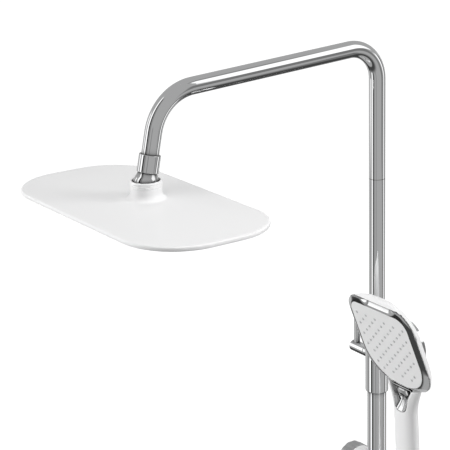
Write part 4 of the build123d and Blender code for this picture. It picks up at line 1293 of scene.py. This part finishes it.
    def nozzles(self) -> Mesh:
        """Mould the silicone mat behind the face with a soft nub through each hole.

        Returns:
            The mat's mesh.
        """
        place = self.face_frame()
        edge = self.face.radii(self.sides, -self.mat_inset)
        skin = Skin()
        mat = [polar_ring(edge, place, self.mat_back), polar_ring(edge, place, self.mat_front)]
        skin.patch(mat, cap_first=True, cap_last=True)
        corners: list[tuple[float, ...]] = [(self.nozzle_r, self.mat_front)]
        corners.append((self.nozzle_r, self.skirt_height))
        corners.append((self.skirt_r, self.skirt_height, self.skirt_edge))
        corners += [(wide * self.nozzle_r, tall * self.nozzle_length, soft) for wide, tall, soft in self.nub]
        corners.append((corners[-1][0], -self.nozzle_length))
        profile = soft_profile(corners, steps=3, hold=0.02)
        for across, up in self.nozzle_places():
            nub = place @ frame_at(across, up, 0.0)
            skin.patch(turned_rings(profile, nub, self.nozzle_sides), cap_last=True)
        return skin.mesh(sharp=50.0)

    def tray_outline(self) -> list[float]:
        """Read the thumb tray's outline about a point on the handle.

        Returns:
            Radii in evenly spaced directions.
        """
        middle = self.tray_middle
        right = [
            (self.tray_foot_half, self.tray_foot - middle, self.tray_foot_r),
            (self.tray_waist_half, self.tray_waist - middle, self.tray_waist_r),
            (self.tray_top_half, self.tray_top - middle, self.tray_top_r),
        ]
        left = [(-across, along, radius) for across, along, radius in reversed(right)]
        return outline_radii(right + left, self.sides)

    def tray_rim(self, radii: list[float]) -> list[float]:
        """Work out how far the tray's rim stands in front of the handle's axis.

        Args:
            radii: Radii of the rim.

        Returns:
            One height for each point.
        """
        heights = []
        for index, radius in enumerate(radii):
            along = self.tray_middle + radius * math.sin(math.tau * index / self.sides)
            share = (along - self.tray_foot) / (self.tray_top - self.tray_foot)
            heights.append(self.tray_rim_foot + (self.tray_rim_top - self.tray_rim_foot) * share)
        return heights

    def button_outline(self, grow: float, middle: float) -> list[float]:
        """Read the button's oval about a point on the handle.

        Args:
            grow: How much wider than the button the oval is.
            middle: Where along the handle the point is.

        Returns:
            Radii in evenly spaced directions.
        """
        half = self.button_half_width + grow
        tall = self.button_half_height + grow
        corners = box_corners(half, tall, tall - LEAST_RUN, self.button_along - middle)
        return outline_radii(corners, self.sides)

    def tray(self) -> Mesh:
        """Skin the thumb tray: round rim, sides that sweep in, and a floor round the button.

        Returns:
            The tray's mesh.
        """
        place = self.front_frame(self.tray_middle)
        wide = self.tray_outline()
        hole = self.button_outline(self.button_gap, self.tray_middle)
        rings = [polar_ring(wide, place, self.tray_back)]
        for inset, drop in self.tray_edge:
            start = [radius - inset for radius in wide]
            rim = [height - drop for height in self.tray_rim(start)]
            rings.append(polar_ring(start, place, rim))
        for step in range(1, self.tray_steps + 1):
            share = step / self.tray_steps
            fall = 1.0 - (1.0 - share) ** self.tray_sweep
            heights = [high + (self.tray_floor - high) * fall for high in rim]
            rings.append(polar_ring(between(start, hole, share), place, heights))
        rings.append(polar_ring(hole, place, self.tray_back))
        return ring_mesh(rings, sharp=60.0)

    def button(self) -> Mesh:
        """Mould the oval button with a rounded edge, a domed face and a seat for its coil.

        Returns:
            The button's mesh.
        """
        place = self.front_frame(self.button_along)
        oval = self.button_outline(0.0, self.button_along)
        back = self.button_back
        rows = [(self.button_back_share, back), (1.0, back + self.button_chamfer)]
        rows += [(share, self.button_front - drop) for share, drop in self.button_dome]
        bore = [self.coil_r + 2 * self.coil_wire] * self.sides
        rings = [polar_ring(bore, place, self.coil_back + self.coil_length), polar_ring(bore, place, back)]
        rings += [polar_ring([radius * share for radius in oval], place, height) for share, height in rows]
        return ring_mesh(rings, sharp=60.0, cap_first=True, cap_last=True)

    def coil(self) -> Object:
        """Wind the spring behind the button.

        Returns:
            A curve with the wire's thickness.
        """
        data = bpy.data.curves.new("button_coil", "CURVE")
        data.dimensions = "3D"
        data.bevel_depth = self.coil_wire * MM
        data.bevel_resolution = self.coil_roundness
        wire = data.splines.new("NURBS")
        count = self.coil_steps * self.coil_turns
        wire.points.add(count)
        place = self.front_frame(self.button_along)
        rise = self.coil_length - 2 * self.coil_wire
        for index in range(count + 1):
            turn = math.tau * index * self.coil_turns / count
            height = self.coil_back + self.coil_wire + rise * index / count
            spot = place @ Vector((self.coil_r * math.cos(turn), self.coil_r * math.sin(turn), height))
            wire.points[index].co = (*(spot * MM), 1.0)
        wire.order_u = self.coil_order
        wire.use_endpoint_u = True
        return bpy.data.objects.new("button_coil", data)

    def inlet(self) -> Mesh:
        """Cut the threaded inlet at the foot of the handle.

        Returns:
            The inlet's mesh.
        """
        thread = PipeThread()
        place = self.hand_frame()
        heights = (self.inlet_top, self.inlet_thread_top)
        spigot = [Vector((self.inlet_spigot_r, height)) for height in heights]
        rings = turned_rings(spigot, place, thread.sides)
        rings += thread.rings(place, self.inlet_thread_top, self.inlet_top)
        return ring_mesh(rings + [rings[0]], sharp=55.0)


# Diverter
@dataclass
class Diverter(SubAssembly):
    """Valve at the foot of the column, with its turning handle and two nipples. Millimetres."""

    axis_y: float = -48.0
    axis_z: float = -572.0
    foot_z: float = -600.0
    side_reach: float = 20.0
    knob_back: float = -76.0
    knob_r: float = 18.0
    knob_length: float = 22.0
    knob_edge: float = 1.5
    back_edge: float = 0.8
    centre_r: float = 0.5
    bar_half: float = 3.5
    bar_length_half: float = 15.0
    bar_height: float = 5.0
    bar_corner: float = 3.2
    # Inset, and height over the knob's front or drop below the bar's top
    bar_root: Rows = ((-0.5, -0.2), (-0.15, 0.3), (0.0, 1.0))
    bar_edge: Rows = ((0.0, 1.4), (0.15, 0.7), (0.5, 0.25), (1.1, 0.04), (1.8, 0.0))
    spindle_r: float = 4.05
    spindle_grip: float = 14.0
    spigot_r: float = 9.95
    spigot: float = 8.0
    flange_r: float = 13.0
    flange: float = 3.0
    flange_top_edge: float = 0.4
    flange_foot_edge: float = 0.6
    sides: int = 96
    solids = ("diverter_body", "gland_nut", "gland_seal", "diverter_cartridge", "diverter_spindle")

    def build(self, workshop: Workshop) -> None:
        """Make the handle and the nipples.

        Args:
            workshop: Takes the finished pieces.
        """
        workshop.add_mesh("diverter_handle_grip", self.handle(), "diverter_knob")
        below = frame_at(0.0, self.axis_y, self.foot_z)
        aside = frame_at(self.side_reach, self.axis_y, self.axis_z) @ SIDEWAYS
        for node, place in (("inlet_nipple", below), ("outlet_nipple", aside)):
            workshop.add_mesh(f"{node}_threaded", self.nipple(place), node)

    def handle(self) -> Mesh:
        """Turn the handle and set a rounded grip bar across its front.

        Returns:
            The handle's mesh.
        """
        place = frame_at(0.0, self.knob_back, self.axis_z, TO_FRONT)
        front = self.knob_length
        profile = soft_profile([
            (self.spindle_r, self.spindle_grip), (self.spindle_r, 0.0), (self.knob_r, 0.0, self.back_edge),
            (self.knob_r, front, self.knob_edge), (self.centre_r, front),
        ])
        skin = Skin()
        skin.patch(turned_rings(profile, place, self.sides), cap_first=True, cap_last=True)
        bar = outline_radii(box_corners(self.bar_half, self.bar_length_half, self.bar_corner), self.sides)
        rows = [(inset, front + rise) for inset, rise in self.bar_root]
        rows += [(inset, front + self.bar_height - drop) for inset, drop in self.bar_edge]
        rings = [polar_ring([radius - inset for radius in bar], place, height) for inset, height in rows]
        skin.patch(rings, cap_last=True)
        return skin.mesh()

    def nipple(self, place: Matrix) -> Mesh:
        """Cut one nipple: spigot, flange and thread.

        Args:
            place: Frame whose Z points into the valve.

        Returns:
            The nipple's mesh.
        """
        thread = PipeThread()
        top = soft_profile([
            (self.spigot_r, self.spigot), (self.spigot_r, 0.0), (self.flange_r, 0.0, self.flange_top_edge),
            (self.flange_r, -self.flange, self.flange_foot_edge), (thread.radius, -self.flange),
        ], steps=3)
        rings = turned_rings(top, place, thread.sides) + thread.rings(place, -self.flange, self.spigot)
        return ring_mesh(rings + [rings[0]], sharp=55.0)


# Camera
def direction(azimuth: float, elevation: float) -> Vector:
    """Point to a place round the column.

    Args:
        azimuth: Degrees from the front, positive to the right.
        elevation: Degrees above level.

    Returns:
        A direction of length 1.
    """
    turn = math.radians(azimuth)
    rise = math.radians(elevation)
    return Vector((math.sin(turn) * math.cos(rise), -math.cos(turn) * math.cos(rise), math.sin(rise)))


@dataclass(frozen=True)
class PhotoCamera:
    """Camera that sees the column as the photograph does. Metres and degrees."""

    azimuth: float = 56.258
    elevation: float = 17.275
    roll: float = -1.536
    distance: float = 1.98295
    aim_forward: float = -0.198
    aim_height: float = 0.20174
    aim_side: float = -0.06048
    lens_mm: float = 136.0
    sensor_mm: float = 36.0
    far_clip: float = 50.0

    def build(self) -> None:
        """Make the camera and set it as the scene's own."""
        azimuth = math.radians(self.azimuth)
        roll = math.radians(self.roll)
        right = Vector((math.cos(azimuth), math.sin(azimuth), 0.0))
        ahead = -direction(self.azimuth, self.elevation)
        above = right.cross(ahead)
        side = right * math.cos(roll) + above * math.sin(roll)
        top = above * math.cos(roll) - right * math.sin(roll)
        aim = Vector((0.0, self.aim_forward, self.aim_height)) + right * self.aim_side
        data = bpy.data.cameras.new("photo_camera")
        data.lens = self.lens_mm
        data.sensor_width = self.sensor_mm
        data.clip_end = self.far_clip
        camera = bpy.data.objects.new("photo_camera", data)
        turn = Matrix((side, top, -ahead)).transposed().to_4x4()
        camera.matrix_world = Matrix.Translation(aim - ahead * self.distance) @ turn
        bpy.context.scene.camera = link(camera)


# Studio
def bare_material(name: str) -> tuple[Material, NodeSketch]:
    """Make a material with an empty node tree.

    Args:
        name: The material's name.

    Returns:
        The material and a sketch of its tree.
    """
    material = bpy.data.materials.new(name)
    material.use_nodes = True
    material.node_tree.nodes.clear()
    return material, NodeSketch(material.node_tree)


@dataclass(frozen=True)
class Card:
    """Patch of the studio dome that bright metal mirrors. Degrees."""

    azimuth: float
    half_width: float
    tone: float
    low: float = -33.0
    high: float = 14.0
    edge: float = 2.0

    def share(self, azimuth: float, elevation: float) -> float:
        """How much of a direction the card fills.

        Args:
            azimuth: Degrees from the front, positive to the right.
            elevation: Degrees above level.

        Returns:
            From 0, off the card, to 1, on it.
        """
        away = abs((azimuth - self.azimuth + 180.0) % 360.0 - 180.0)
        inside = 1.0 - blend(self.half_width - self.edge, self.half_width + self.edge, away)
        inside *= blend(self.low - self.edge, self.low + self.edge, elevation)
        return inside * (1.0 - blend(self.high - self.edge, self.high + self.edge, elevation))


@dataclass(frozen=True)
class StudioDome:
    """Grey studio walls, dark floor and white cards that only mirror reflections see."""

    radius: float = 3.0
    middle_y: float = -0.048
    floor_tone: float = 0.06
    side_tone: float = 0.42
    floor_low: float = -46.0
    floor_high: float = -24.0
    end_elevation: float = 89.5
    columns: int = 360
    rows: int = 90
    cards: tuple[Card, ...] = (
        Card(-88.0, 18.0, 0.58),
        Card(-43.0, 6.0, 0.26),
        Card(-64.0, 16.0, 0.03, -46.0, -31.0),
        Card(-49.0, 6.0, 1.3, -10.0, 28.0),
        Card(-20.0, 8.0, 1.3, high=60.0),
        Card(-4.0, 7.0, 0.02, high=60.0),
        Card(11.0, 5.0, 0.24, high=60.0),
        Card(39.0, 4.0, 0.26),
        Card(126.0, 14.0, 0.20, -11.0, 20.0),
        Card(205.0, 15.0, 0.60),
        Card(172.0, 7.0, 0.15),
        Card(154.0, 6.0, 1.3),
        Card(140.0, 6.0, 0.15, -33.0, -11.0),
        Card(138.0, 20.0, 1.3, 22.0, 57.0),
        Card(138.0, 24.0, 0.24, 59.0, 65.0),
        Card(0.0, 200.0, 0.40, -95.0, -58.0),
    )

    def tone(self, azimuth: float, elevation: float) -> float:
        """Brightness of the dome in a direction.

        Args:
            azimuth: Degrees from the front, positive to the right.
            elevation: Degrees above level.

        Returns:
            The emission strength there.
        """
        value = self.floor_tone
        value += (self.side_tone - self.floor_tone) * blend(self.floor_low, self.floor_high, elevation)
        for card in self.cards:
            value += (card.tone - value) * card.share(azimuth, elevation)
        return value

    def material(self) -> Material:
        """Make the walls' own light.

        Returns:
            A material that shows each point's tone.
        """
        material, sketch = bare_material("studio_wall")
        paint = sketch.add("ShaderNodeAttribute", attribute_name="tone")
        glow = sketch.add("ShaderNodeEmission", {"Color": paint.outputs["Color"]})
        sketch.add("ShaderNodeOutputMaterial", {"Surface": glow.outputs[0]})
        return material

    def build(self) -> None:
        """Make the dome round the column and put it into the scene."""
        middle = Vector((0.0, self.middle_y, 0.0))
        rings = []
        shades = []
        for row in range(self.rows + 1):
            elevation = -self.end_elevation + 2 * self.end_elevation * row / self.rows
            turns = [360.0 * column / self.columns for column in range(self.columns)]
            rings.append([middle + direction(azimuth, elevation) * self.radius for azimuth in turns])
            shades += [self.tone(azimuth, elevation) for azimuth in turns]
        mesh = ring_mesh(rings)
        layer = mesh.color_attributes.new("tone", "FLOAT_COLOR", "POINT")
        for spot, shade in zip(layer.data, shades):
            spot.color = (shade, shade, shade, 1.0)
        mesh.materials.append(self.material())
        dome = bpy.data.objects.new("studio_dome", mesh)
        for kind in ("camera", "diffuse", "transmission", "volume_scatter", "shadow"):
            setattr(dome, f"visible_{kind}", False)
        link(dome)


@dataclass(frozen=True)
class SoftLamp:
    """Square soft lamp that looks at the column. Metres, degrees and watts."""

    name: str
    azimuth: float
    elevation: float
    power: float
    distance: float = 2.4
    size: float = 1.0
    aim: tuple[float, float, float] = (0.0, -0.2, 0.1)

    def build(self) -> None:
        """Hang the lamp."""
        aim = Vector(self.aim)
        place = aim + direction(self.azimuth, self.elevation) * self.distance
        data = bpy.data.lights.new(self.name, "AREA")
        data.size = self.size
        data.energy = self.power
        lamp = bpy.data.objects.new(self.name, data)
        lamp.location = place
        lamp.rotation_euler = (aim - place).to_track_quat("-Z", "Y").to_euler()
        lamp.visible_glossy = False
        link(lamp)


@dataclass(frozen=True)
class Studio:
    """Pale floor, even white surroundings and soft lamps."""

    world_level: float = 0.45
    floor_below: float = 0.03
    floor_half: float = 14.0
    floor_tone: float = 0.50
    near_glow: float = 0.50
    far_glow: float = 0.85
    glow_near: float = 0.5
    glow_far: float = 2.0
    lamps: tuple[SoftLamp, ...] = (
        SoftLamp("left_softbox", -40.0, -4.0, 140.0, 4.0, 1.6),
        SoftLamp("right_softbox", 128.0, 25.0, 29.0),
        SoftLamp("top_softbox", 60.0, 80.0, 27.0, size=1.6),
    )

    def backdrop_rays(self, sketch: NodeSketch) -> NodeSocket:
        """Pick the rays that show the background.

        Args:
            sketch: Tree of the floor or the world.

        Returns:
            1 for camera, glossy and transmission rays, and 0 for others.
        """
        path = sketch.add("ShaderNodeLightPath")
        mirror = sketch.maths("MAXIMUM", path.outputs["Is Camera Ray"], path.outputs["Is Glossy Ray"])
        return sketch.maths("MAXIMUM", mirror, path.outputs["Is Transmission Ray"])

    def world(self) -> None:
        """Set white surroundings, dimmer for the light that falls on the column."""
        world = bpy.data.worlds.new("studio")
        bpy.context.scene.world = world
        world.use_nodes = True
        sketch = NodeSketch(world.node_tree)
        rays = self.backdrop_rays(sketch)
        level = sketch.add("ShaderNodeMapRange", {"Value": rays, "To Min": self.world_level, "To Max": 1.0})
        light = {"Color": (1.0, 1.0, 1.0, 1.0), "Strength": level.outputs["Result"]}
        sketch.wire(world.node_tree.nodes["Background"], light)

    def floor(self) -> None:
        """Lay the pale floor under the column's foot, clear from below, and put it into the scene."""
        height = CAD_BOX[0][2] - self.floor_below
        mesh = bpy.data.meshes.new("studio_floor")
        corners = [(x, y, height) for x, y, _ in box_corners(self.floor_half, self.floor_half, 0.0)]
        mesh.from_pydata(corners, [], [(0, 1, 2, 3)])
        material, sketch = bare_material("studio_floor")
        tone = self.floor_tone
        matt = sketch.add("ShaderNodeBsdfDiffuse", {"Color": (tone, tone, tone, 1.0)})
        place = sketch.add("ShaderNodeNewGeometry").outputs
        reach = sketch.add("ShaderNodeVectorMath", {0: place["Position"]}, operation="LENGTH")
        level = sketch.add("ShaderNodeMapRange", {
            "Value": reach.outputs["Value"], "From Min": self.glow_near, "From Max": self.glow_far,
            "To Min": self.near_glow, "To Max": self.far_glow,
        })
        lit = sketch.maths("MULTIPLY", self.backdrop_rays(sketch), level.outputs["Result"])
        glow = sketch.add("ShaderNodeEmission", {"Strength": lit})
        both = sketch.add("ShaderNodeAddShader", {0: matt.outputs[0], 1: glow.outputs[0]})
        clear = sketch.add("ShaderNodeBsdfTransparent")
        sides = {0: place["Backfacing"], 1: both.outputs[0], 2: clear.outputs[0]}
        side = sketch.add("ShaderNodeMixShader", sides)
        sketch.add("ShaderNodeOutputMaterial", {"Surface": side.outputs[0]})
        mesh.materials.append(material)
        floor = bpy.data.objects.new("studio_floor", mesh)
        floor.visible_glossy = False
        link(floor)

    def build(self) -> None:
        """Set up the surroundings, the floor, the dome and the lamps."""
        self.world()
        self.floor()
        StudioDome().build()
        for lamp in self.lamps:
            lamp.build()


def main() -> None:
    """Build and dress each sub-assembly, then set the camera and the studio."""
    workshop = Workshop()
    assemblies: tuple[SubAssembly, ...] = (
        WallBrackets(), Riser(), ArmAndBall(), RainHead(), Slider(), Holder(), HandShower(), Diverter(),
    )
    for assembly in assemblies:
        assembly.build(workshop)
        assembly.dress(workshop)
    PhotoCamera().build()
    Studio().build()
    bpy.context.scene.view_settings.view_transform = "Standard"


if __name__ == "__main__":
    main()
